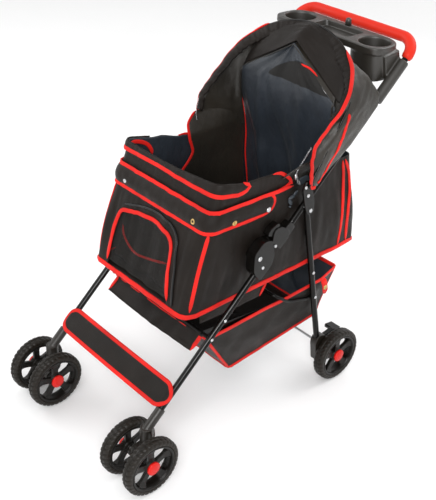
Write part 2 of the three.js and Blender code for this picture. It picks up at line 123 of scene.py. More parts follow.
# ---------------------------------------------------------------- materials
class Look:
    """A procedural material: a Principled shader and the textures that drive it."""

    def __init__(self, name, colour, roughness, **sockets):
        self.material = bpy.data.materials.new(name)
        self.material.use_nodes = True
        self.tree = self.material.node_tree
        self.shader = self.tree.nodes["Principled BSDF"]
        self.set(**{"Base Color": (*colour, 1), "Roughness": roughness}, **sockets)
        self.coords = self.node("ShaderNodeTexCoord").outputs["Object"]
        self.colour, self.roughness = colour, roughness

    def set(self, **sockets):
        for key, value in sockets.items():
            self.shader.inputs[key.replace("_", " ")].default_value = value

    def node(self, kind, **inputs):
        made = self.tree.nodes.new(kind)
        for key, value in inputs.items():
            name = key.replace("_", " ")
            if name in made.inputs:
                if isinstance(value, bpy.types.NodeSocket):
                    self.tree.links.new(value, made.inputs[name])
                else:
                    made.inputs[name].default_value = value
            else:
                setattr(made, key, value)
        return made

    def link(self, output, socket):
        self.tree.links.new(output, self.shader.inputs[socket])

    def noise(self, scale, detail=3.0, vector=None):
        return self.node("ShaderNodeTexNoise", Vector=vector or self.coords, Scale=scale,
                         Detail=detail).outputs["Fac"]

    def ramp(self, factor, low, high, start=0.3, end=0.7):
        made = self.node("ShaderNodeMapRange", Value=factor, From_Min=start, From_Max=end, To_Min=low,
                         To_Max=high)
        return made.outputs["Result"]

    def shade(self, factor, dark, light):
        """Colour between two shades of the base colour by a texture."""
        mix = self.node("ShaderNodeMix", data_type="RGBA")
        mix.inputs[6].default_value = (*[c * dark for c in self.colour], 1)
        mix.inputs[7].default_value = (*[min(1, c * light) for c in self.colour], 1)
        self.tree.links.new(factor, mix.inputs[0])
        self.link(mix.outputs[2], "Base Color")
        return mix.outputs[2]

    def bump(self, height, distance, strength=0.5, onto=None):
        made = self.node("ShaderNodeBump", Height=height, Distance=distance, Strength=strength)
        if onto:
            self.tree.links.new(onto, made.inputs["Normal"])
        self.link(made.outputs["Normal"], "Normal")
        return made.outputs["Normal"]

    def math(self, operation, a, b):
        made = self.node("ShaderNodeMath", operation=operation)
        for socket, value in zip(made.inputs, (a, b)):
            if isinstance(value, bpy.types.NodeSocket):
                self.tree.links.new(value, socket)
            else:
                socket.default_value = value
        return made.outputs[0]


def moulded_look(name, colour, roughness, grain=900, wear=1.7, **sockets):
    """Moulded plastic or rubber: fine grain, uneven gloss and paler worn edges."""
    look = Look(name, colour, roughness, **{"Specular IOR Level": 0.25, **sockets})
    blotch = look.noise(14)
    look.link(look.ramp(blotch, roughness * 0.85, min(1, roughness * 1.2)), "Roughness")
    edge = look.node("ShaderNodeNewGeometry").outputs["Pointiness"]
    worn = look.math("ADD", look.ramp(edge, 0.0, 0.8, 0.52, 0.60), look.ramp(blotch, 0.0, 0.25))
    look.shade(worn, 0.88, wear)
    look.bump(look.noise(grain, 2), 0.0004, 0.35)
    return look.material


def painted_look(name, colour, roughness, **sockets):
    look = Look(name, colour, roughness, **{"Specular IOR Level": 0.35, **sockets})
    patch = look.noise(25, 4)
    look.link(look.ramp(patch, roughness * 0.7, roughness * 1.4), "Roughness")
    look.shade(look.ramp(look.noise(320, 2), 0, 1, 0.55, 0.75), 1.0, 1.8)
    look.bump(look.noise(60, 2), 0.0005, 0.12)
    return look.material


def metal_look(name, colour, roughness):
    look = Look(name, colour, roughness, Metallic=1.0)
    stretched = look.node("ShaderNodeMapping", Vector=look.coords, Scale=(40, 900, 900)).outputs["Vector"]
    brushed = look.noise(1.0, 3, stretched)
    look.link(look.ramp(brushed, roughness * 0.7, roughness * 1.5), "Roughness")
    look.shade(look.noise(30), 0.8, 1.15)
    look.bump(brushed, 0.0002, 0.2)
    return look.material


def woven(look, thread, vector):
    """Height of a plain weave with that thread spacing."""
    rows = []
    for direction in ("X", "Y"):
        wave = look.node("ShaderNodeTexWave", Vector=vector, Scale=0.314 / thread, Distortion=0.6,
                         Detail=1.0)
        wave.bands_direction = direction
        rows.append(wave.outputs["Fac"])
    return look.math("MULTIPLY", *rows)


def cloth_look(name, colour, roughness=0.72, thread=0.0016, sheen=0.04, weave=0.5, crease=0.0012, flat=True,
               gloss=0.18):
    """Woven polyester: plain weave, slightly uneven dye, soft creases and a low sheen."""
    look = Look(name, colour, roughness,
                **{"Sheen Weight": sheen, "Sheen Roughness": 0.4, "Specular IOR Level": gloss})
    vector = look.coords
    if flat:
        vector = look.node("ShaderNodeUVMap", uv_map="weave").outputs["UV"]
    threads = woven(look, thread, vector)
    look.shade(look.math("ADD", look.ramp(look.noise(9, 4), 0, 0.7), look.ramp(threads, 0, 0.3, 0, 1)),
               0.72, 1.5)
    look.link(look.ramp(look.noise(22), roughness * 0.8, min(1, roughness * 1.15)), "Roughness")
    creased = look.bump(look.noise(38, 4), crease, 0.5)
    look.bump(threads, thread * 0.25, weave, creased)
    return look.material


def net_look(name, colour, hole=0.0026, strand=0.20):
    """Open net: strands with clear holes between them."""
    look = Look(name, colour, 0.6, **{"Specular IOR Level": 0.3})
    vector = look.node("ShaderNodeUVMap", uv_map="weave").outputs["UV"]
    cells = look.node("ShaderNodeTexVoronoi", Vector=vector, Scale=1 / hole, Randomness=0.15)
    cells.feature = "DISTANCE_TO_EDGE"
    cover = look.ramp(cells.outputs["Distance"], 1.0, 0.0, strand - 0.04, strand)
    look.link(cover, "Alpha")
    look.shade(look.noise(200), 0.7, 1.8)
    look.bump(cells.outputs["Distance"], 0.0006, 0.4)
    return look.material


PAINT = painted_look("black_gloss_paint", (0.0028, 0.0024, 0.0020), 0.14, **{"Specular IOR Level": 0.20})
STEEL = metal_look("zinc_plated_steel", (0.62, 0.63, 0.64), 0.28)
BRASS = metal_look("brass", (0.62, 0.42, 0.16), 0.3)
PLASTIC = moulded_look("black_satin_plastic", (0.0135, 0.0108, 0.0080), 0.34, **{"Specular IOR Level": 0.5})
LOCK_PLASTIC = moulded_look("black_gloss_plastic", (0.0036, 0.0030, 0.0025), 0.22,
                            **{"Specular IOR Level": 0.28})
TRAY_PLASTIC = moulded_look("tray_plastic", (0.0200, 0.0170, 0.0130), 0.42, wear=1.3,
                            **{"Specular IOR Level": 0.8})
WHEEL_PLASTIC = moulded_look("wheel_plastic", (0.0060, 0.0050, 0.0038), 0.30, grain=700)
RUBBER = moulded_look("tyre_rubber", (0.0085, 0.0064, 0.0042), 0.40, grain=500, wear=2.4)
RED_PLASTIC = moulded_look("red_gloss_plastic", (0.66, 0.012, 0.008), 0.26, grain=200, wear=1.15)
FOAM = moulded_look("red_foam", (0.72, 0.022, 0.006), 0.5, grain=650, wear=1.05)
CLIP = moulded_look("grey_clip_plastic", (0.030, 0.036, 0.042), 0.22, grain=300)
ZIP = moulded_look("zip_coil", (0.012, 0.012, 0.012), 0.22, grain=1200)
CLOTH = cloth_look("black_oxford", (0.0078, 0.0052, 0.0037), roughness=0.5)
LINING = cloth_look("navy_lining", (0.0210, 0.0262, 0.0340), roughness=0.36, crease=0.0040, gloss=0.5)
HOOD_LINING = cloth_look("hood_lining", (0.0200, 0.0165, 0.0122), roughness=0.38, crease=0.0040, gloss=0.45)
PAD_CLOTH = cloth_look("pad_cloth", (0.0055, 0.0085, 0.0135), flat=False)
TAPE = cloth_look("red_binding_tape", (0.60, 0.012, 0.008), roughness=0.6, thread=0.0012, weave=0.35,
                  flat=False)
NET = net_look("black_net", (0.007, 0.006, 0.005))
DENSE_NET = net_look("dense_black_net", (0.006, 0.0055, 0.005), strand=0.60)


# ---------------------------------------------------------------- mesh helpers
class Shape:
    """Vertices, faces and flat cloth coordinates gathered before they become one mesh."""

    def __init__(self):
        self.verts, self.faces, self.marks, self.flat = [], [], [], []

    def add(self, verts, faces, mark=0, flat=None):
        first = len(self.verts)
        self.verts += [tuple(v) for v in verts]
        self.faces += [tuple(first + i for i in f) for f in faces]
        self.marks += [mark] * len(faces)
        self.flat += flat or [(0.0, 0.0)] * len(verts)
        return self

    def grid(self, rows, mark=0, closed=False, keep=None):
        """A sheet through rows of points; keep(point) says which faces stay."""
        count, across = len(rows), len(rows[0])
        verts = [p for row in rows for p in row]
        flat = []
        middle = rows[count // 2]
        run = np.cumsum([0] + [(b - a).length for a, b in zip(middle, middle[1:])])
        half = across // 2
        rise = np.cumsum([0] + [(b[half] - a[half]).length for a, b in zip(rows, rows[1:])])
        for i in range(count):
            flat += [(float(run[k]), float(rise[i])) for k in range(across)]
        faces = []
        for i in range(count - 1):
            for k in range(across if closed else across - 1):
                n = (k + 1) % across
                face = (i * across + k, i * across + n, (i + 1) * across + n, (i + 1) * across + k)
                if keep is None or keep(sum((verts[j] for j in face), Vector()) / 4):
                    faces.append(face)
        return self.add(verts, faces, mark, flat)

    def object(self, name, *materials):
        mesh = bpy.data.meshes.new(name)
        mesh.from_pydata(self.verts, [], self.faces)
        for m in materials:
            mesh.materials.append(m)
        mesh.polygons.foreach_set("material_index", self.marks)
        mesh.polygons.foreach_set("use_smooth", [True] * len(self.faces))
        layer = mesh.uv_layers.new(name="weave")
        loops = np.zeros(len(mesh.loops), np.int32)
        mesh.loops.foreach_get("vertex_index", loops)
        layer.data.foreach_set("uv", np.array(self.flat, np.float32)[loops].ravel())
        mesh.validate()
        made = bpy.data.objects.new(name, mesh)
        bpy.context.scene.collection.objects.link(made)
        return made


def smooth_path(points, step, closed=False):
    """Points of a Catmull-Rom curve through the given ones, about step apart."""
    points = [Vector(p) for p in points]
    if closed:
        ends = (points[-1], points[0], points[1])
    else:
        ends = (2 * points[0] - points[1], 2 * points[-1] - points[-2])
    padded = [ends[0], *points, *ends[1:]]
    out = []
    for a, b, c, d in zip(padded, padded[1:], padded[2:], padded[3:]):
        n = max(1, round((c - b).length / step))
        for i in range(n):
            t = i / n
            out.append(0.5 * (2 * b + (c - a) * t + (2 * a - 5 * b + 4 * c - d) * t * t
                              + (3 * b - a - 3 * c + d) * t ** 3))
    if not closed:
        out.append(points[-1])
    return out


def tangents(points, closed=False):
    n = len(points)
    out = []
    for i in range(n):
        before = points[i - 1] if i or closed else points[0]
        after = points[(i + 1) % n] if i < n - 1 or closed else points[-1]
        out.append((after - before).normalized())
    return out


def carried_normals(points, first, closed=False):
    """A normal at each point, carried along the path without twist."""
    normal = Vector(first)
    out = []
    for t in tangents(points, closed):
        normal = (normal - normal.dot(t) * t).normalized()
        out.append(normal.copy())
    return out


def sweep(shape, points, section, normals=None, closed=False, mark=0, taper=None):
    """A solid along a path; section is (side, normal) offsets. taper(i, n) scales it."""
    if normals is None:
        first = Vector((0, 0, 1)) if abs((points[1] - points[0]).normalized().z) < 0.9 else Vector((0, 1,
                                                                                                    0))
        normals = carried_normals(points, first, closed)
    rows = []
    for i, (p, t, n) in enumerate(zip(points, tangents(points, closed), normals)):
        side = t.cross(n).normalized()
        up = side.cross(t)
        scale = taper(i, len(points)) if taper else 1.0
        rows.append([p + side * (a * scale) + up * (b * scale) for a, b in section])
    count, around = len(rows), len(section)
    verts = [p for row in rows for p in row]
    faces = []
    for i in range(count if closed else count - 1):
        j = (i + 1) % count
        for k in range(around):
            n = (k + 1) % around
            faces.append((i * around + k, i * around + n, j * around + n, j * around + k))
    if not closed:
        faces.append(tuple(reversed(range(around))))
        faces.append(tuple(range((count - 1) * around, count * around)))
    return shape.add(verts, faces, mark)


def circle(radius, sides=24):
    return [(radius * math.cos(2 * math.pi * i / sides), radius * math.sin(2 * math.pi * i / sides))
            for i in range(sides)]


def flat_section(width, thick, sides=12):
    """A flattened round section: wide across, thin along the normal."""
    out = []
    for i in range(sides):
        a = 2 * math.pi * i / sides
        c, s = math.cos(a), math.sin(a)
        out.append((width / 2 * math.copysign(abs(c) ** 0.6, c),
                    thick / 2 * math.copysign(abs(s) ** 0.6, s)))
    return out


def rounded_end(i, n, reach=3):
    edge = min(i, n - 1 - i)
    return math.sin(clamp((edge + 0.35) / reach) * math.pi / 2) if edge < reach else 1.0


def lathe(shape, centre, axis, profile, sides=32, mark=0):
    """Turns (along, radius) pairs about an axis through centre."""
    axis = Vector(axis).normalized()
    side = axis.orthogonal().normalized()
    other = axis.cross(side)
    rows = []
    for along, radius in profile:
        rows.append([Vector(centre) + axis * along + (side * math.cos(a) + other * math.sin(a)) * radius
                     for a in (2 * math.pi * i / sides for i in range(sides))])
    shape.grid(rows, mark, closed=True)
    first = len(shape.verts) - len(rows) * sides
    last = len(shape.verts) - sides
    shape.faces += [tuple(reversed(range(first, first + sides))), tuple(range(last, last + sides))]
    shape.marks += [mark, mark]
    return shape


def settled(made, body, slot, *nodes):
    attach(made, body)
    if nodes:
        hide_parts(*nodes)
    return made


def cut_size(rows):
    """The flat size that a piece sewn from these rows of points was cut to: its mean width and length."""
    def run(line):
        return sum((b - a).length for a, b in zip(line, line[1:]))
    columns = list(zip(*rows))
    return sum(map(run, columns)) / len(columns), sum(map(run, rows)) / len(rows)


def sinks_with_fold(made):
    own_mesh(made)


def sinks_on_basket(made):
    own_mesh(made)


def modified(made, kind, name, **settings):
    m = made.modifiers.new(name, kind)
    for key, value in settings.items():
        setattr(m, key, value)
    return m


def applied(made):
    """Makes the modifiers' result the object's own mesh."""
    dg = bpy.context.evaluated_depsgraph_get()
    mesh = bpy.data.meshes.new_from_object(made.evaluated_get(dg))
    made.modifiers.clear()
    old = made.data
    made.data = mesh
    bpy.data.meshes.remove(old)
    made.data.polygons.foreach_set("use_smooth", [True] * len(made.data.polygons))
    return made


def rounded_outline(corners, radius, steps=8):
    """Corner points of an outline joined by short curves."""
    points = [Vector(p) for p in corners]
    out = []
    for i, p in enumerate(points):
        before, after = points[i - 1], points[(i + 1) % len(points)]
        a = p.lerp(before, min(0.45, radius / (p - before).length))
        b = p.lerp(after, min(0.45, radius / (p - after).length))
        out += [a.lerp(p, t).lerp(p.lerp(b, t), t) for t in (k / steps for k in range(steps + 1))]
    return out


def fix_normals(made):
    mesh = bmesh.new()
    mesh.from_mesh(made.data)
    bmesh.ops.recalc_face_normals(mesh, faces=mesh.faces)
    mesh.to_mesh(made.data)
    mesh.free()
    return made


def thick_cloth(made, thickness=CLOTH_T, offset=0.0):
    modified(made, "SOLIDIFY", "cloth", thickness=thickness, offset=offset, use_rim=True, material_offset=1)
    return applied(made)


def finish_cad(node, look, bevel=0.0006, voxel=None, rounds=4):
    """Keeps a CAD node's shape, with softened moulded edges and its real material."""
    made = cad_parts[node]
    made.data.materials.clear()
    made.data.materials.append(look)
    made.data.polygons.foreach_set("use_smooth", [True] * len(made.data.polygons))
    modified(made, "WELD", "weld", merge_threshold=0.00002)
    if voxel:
        modified(made, "REMESH", "remesh", mode="VOXEL", voxel_size=voxel, use_smooth_shade=True)
        modified(made, "SMOOTH", "smooth", factor=0.5, iterations=rounds)
    else:
        modified(made, "BEVEL", "bevel", width=bevel, segments=3, limit_method="ANGLE",
                 angle_limit=math.radians(35),
                 harden_normals=True)
    return made


# ---------------------------------------------------------------- tubes of the frame
def tube(name, points, radius, body, nodes, look=PAINT, slot="black_tube", sides=28):
    shape = Shape()
    sweep(shape, points, circle(radius, sides))
    return settled(shape.object(name, look), body, slot, *nodes)


def straight(a, b, step=0.02):
    n = max(2, round((b - a).length / step))
    return [a.lerp(b, i / n) for i in range(n + 1)]


def handle_path(from_z):
    """From the near side tube, round both corners of the push bar, to the far side tube."""
    end = bar_at(BAR_END_Z)
    bend = end - FRAME_UP * BAR_CORNER_R
    centre = bend - Vector((BAR_CORNER_R, 0, 0))
    half = straight(bar_at(from_z), bend)
    for i in range(1, 13):
        a = i / 12 * math.pi / 2
        half.append(centre + Vector((BAR_CORNER_R * math.cos(a), 0,
                                     0)) + FRAME_UP * (BAR_CORNER_R * math.sin(a)))
    middle = straight(half[-1], Vector((-half[-1].x, half[-1].y, half[-1].z)))[1:-1]
    return half + middle + [Vector((-p.x, p.y, p.z)) for p in reversed(half)]


SIDES = (("left", NEAR), ("right", FAR))
for word, side in SIDES:
    tube(f"leg_tube_{word}", straight(leg_at(0.152, side), leg_at(0.484, side)), TUBE_R, "front_frame",
         [f"front_leg_{word}"])
    top = Vector((side * BAR_X, *REAR_PIVOT))
    foot = Vector((side * BAR_X, *REAR_FOOT))
    top += (top - foot).normalized() * 0.006
    tube(f"rear_tube_{word}", straight(top, foot), TUBE_R, "rear_frame", [f"rear_leg_{word}"])
BAR_FOOT_Z = 0.455 + 0.096 * FRAME_UP.z + 0.016
tube("push_tube", handle_path(BAR_FOOT_Z), TUBE_R, "handle_frame", ["handle_tube"])


def build_grip():
    path = handle_path(GRIP_Z)
    shape = Shape()
    fine = smooth_path(path, 0.004)
    sweep(shape, fine, circle(GRIP_R, 40), taper=lambda i, n: rounded_end(i, n, 2))
    grip = shape.object("grip_sleeve", FOAM)
    for v in grip.data.vertices:
        v.co += Vector((0, 0, 1)) * 0.0003 * noise.noise(v.co * 60)
    settled(grip, "handle_frame", "red_foam", "foam_grip")


build_grip()


def build_hoop():
    """The bent wire that holds the hood open."""
    points = []
    for i in range(49):
        t = 1 - i / 24
        points.append(hoop_point(t, HOOP_HALF, HOOP_HEIGHT, 0.0))
    shape = Shape()
    sweep(shape, points, circle(0.0026, 12))
    settled(shape.object("hood_wire", PAINT), "canopy_bow", "black_tube", "canopy_hoop")


def hoop_point(u, half, height, behind):
    """Round the hoop from near (u=1) over the top to far (u=-1); behind is square to its plane."""
    t, sign = abs(u), (1 if u >= 0 else -1)
    if t > 0.65:
        x, r = sign * half, HOOP_SIDE * (1 - t) / 0.35
    else:
        a = t / 0.65 * math.pi / 2
        x, r = sign * half * math.sin(a), HOOP_SIDE + (height - HOOP_SIDE) * math.cos(a)
    c, s = math.cos(HOOP_TILT), math.sin(HOOP_TILT)
    return Vector((x, HOOP_PIVOT[0] + r * s + behind * c, HOOP_PIVOT[1] + r * c - behind * s))


build_hoop()


# ---------------------------------------------------------------- rivets
def rivet(shape, at, outward, radius=0.0042, height=0.0026):
    profile = [(-0.002, radius * 0.8), (0, radius), (height * 0.35, radius), (height * 0.75, radius * 0.8),
               (height * 0.95, radius * 0.45), (height, radius * 0.12)]
    return lathe(shape, at, (outward, 0, 0), profile, 20)


def build_rivets():
    groups = {"front_frame": Shape(), "handle_frame": Shape(), "rear_frame": Shape()}
    down = (Vector((0, *REAR_FOOT)) - Vector((0, *REAR_PIVOT))).normalized()
    for word, side in SIDES:
        outer = side * (LEG_X + TUBE_R)
        for z in (0.324, 0.362):
            p = leg_at(z, side)
            rivet(groups["front_frame"], (outer - side * 0.0004, p.y, p.z), side)
        rivet(groups["front_frame"], lock_point(0.019, 0.008, side * 0.2168), side)
        rivet(groups["front_frame"], lock_point(0.030, 0.038, side * 0.2176), side, 0.0052, 0.0032)
        rivet(groups["handle_frame"], (side * 0.2032, 0.003, 0.509), side)
        bar = bar_at(0.584, side)
        rivet(groups["handle_frame"], (side * (BAR_X + TUBE_R), bar.y - 0.004, bar.z), side)
        for y, z in ((0.1145, 0.570), (0.100, 0.615), (0.089, 0.640)):
            rivet(groups["handle_frame"], (side * 0.2042, y, z), side, 0.0046)
        for z in (0.37, 0.287):
            y = REAR_PIVOT[0] + down.y / down.z * (z - REAR_PIVOT[1])
            rivet(groups["rear_frame"], (side * (BAR_X + TUBE_R - 0.0004), y, z), side)
    for body, shape in groups.items():
        settled(shape.object(f"{body}_rivets", STEEL), body, "steel")


build_rivets()

# ---------------------------------------------------------------- CAD pieces that keep their shape
for word, _ in SIDES:
    finish_cad(f"fold_housing_{word}", LOCK_PLASTIC, voxel=0.0009, rounds=3)
    for node in ("axle_bracket", "caster_socket", "caster_fork"):
        finish_cad(f"{node}_{word}", PLASTIC, voxel=0.0011, rounds=6)
    for node in ("leg_bracket", "lock_latch", "brake_pedal"):
        finish_cad(f"{node}_{word}", LOCK_PLASTIC, voxel=0.0008, rounds=4)
    for node in ("fold_pin", "leg_pin", "caster_axle"):
        finish_cad(f"{node}_{word}", STEEL, bevel=0.0003)
    finish_cad(f"side_link_{word}", PAINT, bevel=0.0008)
finish_cad("rear_axle", STEEL, bevel=0.0003)
finish_cad("front_cross_rod", PAINT, bevel=0.0005)


def build_fold_sleeves():
    """The moulded sleeve at the foot of each handle tube, with the ear that turns on the lock's pin."""
    body = [(0.082, -0.025), (0.080, 0.013), (0.098, 0.029), (0.112, 0.032), (0.127, 0.018),
            (0.131, -0.014), (0.121, -0.027)]
    ear = [(0.098, -0.020), (0.098, 0.018), (0.040, 0.050), (0.020, 0.046), (0.020, 0.028), (0.060, -0.016)]
    collar = [(0.124, -0.0275), (0.124, 0.004), (0.150, -0.001), (0.150, -0.0265)]
    for word, side in SIDES:
        shape = Shape()
        for outline, radius, inner, outer in ((body, 0.007, 0.1785, 0.2030), (ear, 0.008, 0.1787, 0.1866),
                                              (collar, 0.005, 0.1795, 0.2005)):
            ring = rounded_outline([(s, p, 0) for s, p in outline], radius, 4)
            n = len(ring)
            verts = [lock_point(p.x, p.y, side * x) for x in (inner, outer) for p in ring]
            faces = [(i, (i + 1) % n, n + (i + 1) % n, n + i) for i in range(n)]
            shape.add(verts, faces + [tuple(reversed(range(n))), tuple(range(n, 2 * n))])
        sleeve = fix_normals(shape.object(f"fold_sleeve_full_{word}", LOCK_PLASTIC))
        modified(sleeve, "REMESH", "remesh", mode="VOXEL", voxel_size=0.0010, use_smooth_shade=True)
        modified(sleeve, "SMOOTH", "smooth", factor=0.5, iterations=4)
        applied(sleeve)
        settled(sleeve, "handle_frame", "black_plastic", f"fold_sleeve_{word}")


def build_link_bar():
    """The bent rod between the side links, smooth where the CAD bar has straight steps."""
    half = [(0.1812, 0.188, 0.289), (0.1845, 0.168, 0.284), (0.1845, 0.132, 0.292),
            (0.1835, 0.093, 0.303), (0.1820, 0.067, 0.320),
            (0.1760, 0.050, 0.331), (0.1600, 0.045, 0.334), (0.139, 0.046, 0.334), (0.060, 0.047, 0.334)]
    path = smooth_path([*half, *[(-a, b, c) for a, b, c in reversed(half)]], 0.006)
    shape = Shape()
    sweep(shape, path, circle(0.0046, 16))
    settled(shape.object("link_bar", PAINT), "side_links", "black_tube", "link_cross_bar")


build_fold_sleeves()
build_link_bar()


# ---------------------------------------------------------------- wheels
TREADS = 34
SPOKES = 5


def tyre_mesh(width):
    """A tyre with angled shoulder blocks and a ribbed side wall, turned about X."""
    half, outer = width / 2, 0.0757
    profile = [(-half, 0.0625), (-half, 0.0665), (-half + 0.0006, 0.0705), (-half + 0.002, 0.0728),
               (-half + 0.0045, 0.0747)]
    crown = [(x, outer) for x in np.linspace(-half + 0.0075, half - 0.0075, 11)]
    profile = profile + crown + [(-x, r) for x, r in reversed(profile)]
    profile += [(half - 0.003, 0.0618), (-half + 0.003, 0.0618)]
    steps = TREADS * 8
    rows = []
    for i in range(steps):
        a = 2 * math.pi * i / steps
        row = []
        for x, r in profile:
            side = 1 if x >= 0 else -1
            across = abs(x) / half
            phase = (i / 8 + 0.5 * (side > 0) + 0.55 * across * side) % 1.0
            groove = 0.0
            if r > 0.070 and across > 0.28:
                groove = 0.0026 * clamp(1.6 - abs(phase - 0.5) * 9.0)
            if across < 0.1 and r > 0.074:
                groove = 0.0022
            if 0.064 < r < 0.070 and across > 0.9:
                groove = 0.0006 * (1 if phase > 0.5 else 0)
                row.append(Vector((x - side * groove, r * math.cos(a), r * math.sin(a))))
                continue
            r = r - groove
            row.append(Vector((x, r * math.cos(a), r * math.sin(a))))
        rows.append(row)
    shape = Shape()
    rows.append(rows[0])
    shape.grid(rows, closed=True)
    return shape


def rim_shape(width, outward):
    """The outer ring, five broad spokes dished inwards, and the hub."""
    half = width / 2
    shape = Shape()
    ring = [(-half + 0.001, 0.0545), (-half + 0.0002, 0.0560), (-half + 0.0002, 0.0612),
            (half - 0.0002, 0.0612),
            (half - 0.0002, 0.0575), (half - 0.0016, 0.0552), (half - 0.009, 0.0530),
            (-half + 0.009, 0.0530)]
    rows = []
    for i in range(97):
        a = 2 * math.pi * i / 96
        rows.append([Vector((outward * x, r * math.cos(a), r * math.sin(a))) for x, r in ring])
    shape.grid(rows, closed=True)
    hub = [(-half - 0.001, 0.0135), (-half + 0.006, 0.0150), (half - 0.012, 0.0185),
           (half - 0.0075, 0.0195), (half - 0.0062, 0.0182)]
    lathe(shape, (0, 0, 0), (outward, 0, 0), hub, 48)
    for n in range(SPOKES):
        turn = 2 * math.pi * n / SPOKES + 0.35
        section = []
        for r, wide, back, front in ((0.013, 0.0085, -0.006, half - 0.009),
                                     (0.024, 0.0082, -0.004, half - 0.0098),
                                     (0.040, 0.0088, -0.004, half - 0.0098),
                                     (0.050, 0.0112, -0.006, half - 0.0070),
                                     (0.0565, 0.0150, -0.008, half - 0.0040)):
            section.append([(front, r, -wide), (front, r, wide), (back, r, wide), (back, r, -wide)])
        spoke = []
        for row in section:
            spoke.append([Vector((outward * x, r * math.cos(turn) - w * math.sin(turn),
                                  r * math.sin(turn) + w * math.cos(turn)))
                          for x, r, w in row])
        first = len(shape.verts)
        shape.grid(spoke, closed=True)
        last = len(shape.verts) - 4
        shape.faces += [tuple(range(first, first + 4))[::-1], tuple(range(last, last + 4))]
        shape.marks += [0, 0]
    return shape


def cap_shape(width, outward):
    half = width / 2
    shape = Shape()
    profile = [(half - 0.0066, 0.0172), (half - 0.0012, 0.0174), (half - 0.0004, 0.0170),
               (half + 0.0004, 0.0158),
               (half + 0.0002, 0.0150), (half + 0.0009, 0.0143), (half + 0.0018, 0.0105),
               (half + 0.0023, 0.0055), (half + 0.0024, 0.0008)]
    return lathe(shape, (0, 0, 0), (outward, 0, 0), profile, 48)


def build_wheels():
    made = {}
    for word, side in SIDES:
        specs = [(f"caster_{word}_outer", f"caster_wheel_{word}_outer", side, 0.029),
                 (f"caster_{word}_inner", f"caster_wheel_{word}_inner", -side, 0.029),
                 (f"rear_{word}", f"rear_wheel_{word}", side, 0.032)]
        for node, body, outward, width in specs:
            low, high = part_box(f"{node}_tyre")
            centre = (low + high) / 2
            key = (width, outward)
            if key not in made:
                tyre = fix_normals(tyre_mesh(width).object(f"tyre_{len(made)}", RUBBER))
                rim = fix_normals(rim_shape(width, outward).object(f"rim_{len(made)}", WHEEL_PLASTIC))
                modified(rim, "REMESH", "remesh", mode="VOXEL", voxel_size=0.0010, use_smooth_shade=True)
                modified(rim, "SMOOTH", "smooth", factor=0.5, iterations=4)
                applied(rim)
                cap = fix_normals(cap_shape(width, outward).object(f"cap_{len(made)}", RED_PLASTIC))
                made[key] = [o.data for o in (tyre, rim, cap)]
                for o in (tyre, rim, cap):
                    bpy.data.objects.remove(o)
            for mesh, part, slot in zip(made[key], ("tyre", "rim", "cap"),
                                        ("tyre", "black_plastic", "red_plastic")):
                piece = bpy.data.objects.new(f"{node}_{part}_full", mesh)
                bpy.context.scene.collection.objects.link(piece)
                piece.location = centre
                settled(piece, body, slot, f"{node}_{part}")


build_wheels()


# ---------------------------------------------------------------- tray
def prism(outline, z0, z1, scale=1.0, about=(0, 0)):
    """A closed solid over a plan outline; scale shrinks its lower end about a point."""
    shape = Shape()
    about = Vector((*about, 0))
    low = [about + (Vector((p.x, p.y, 0)) - about) * scale + Vector((0, 0, z0)) for p in outline]
    high = [Vector((p.x, p.y, z1)) for p in outline]
    n = len(outline)
    faces = [(i, (i + 1) % n, n + (i + 1) % n, n + i) for i in range(n)]
    faces += [tuple(reversed(range(n))), tuple(range(n, 2 * n))]
    return shape.add(low + high, faces)


def without(made, *cutters):
    """Cuts other solids out of one, and removes them."""
    for cutter in cutters:
        modified(made, "BOOLEAN", "cut", object=cutter, operation="DIFFERENCE", solver="EXACT")
        applied(made)
        bpy.data.objects.remove(cutter)
    return made


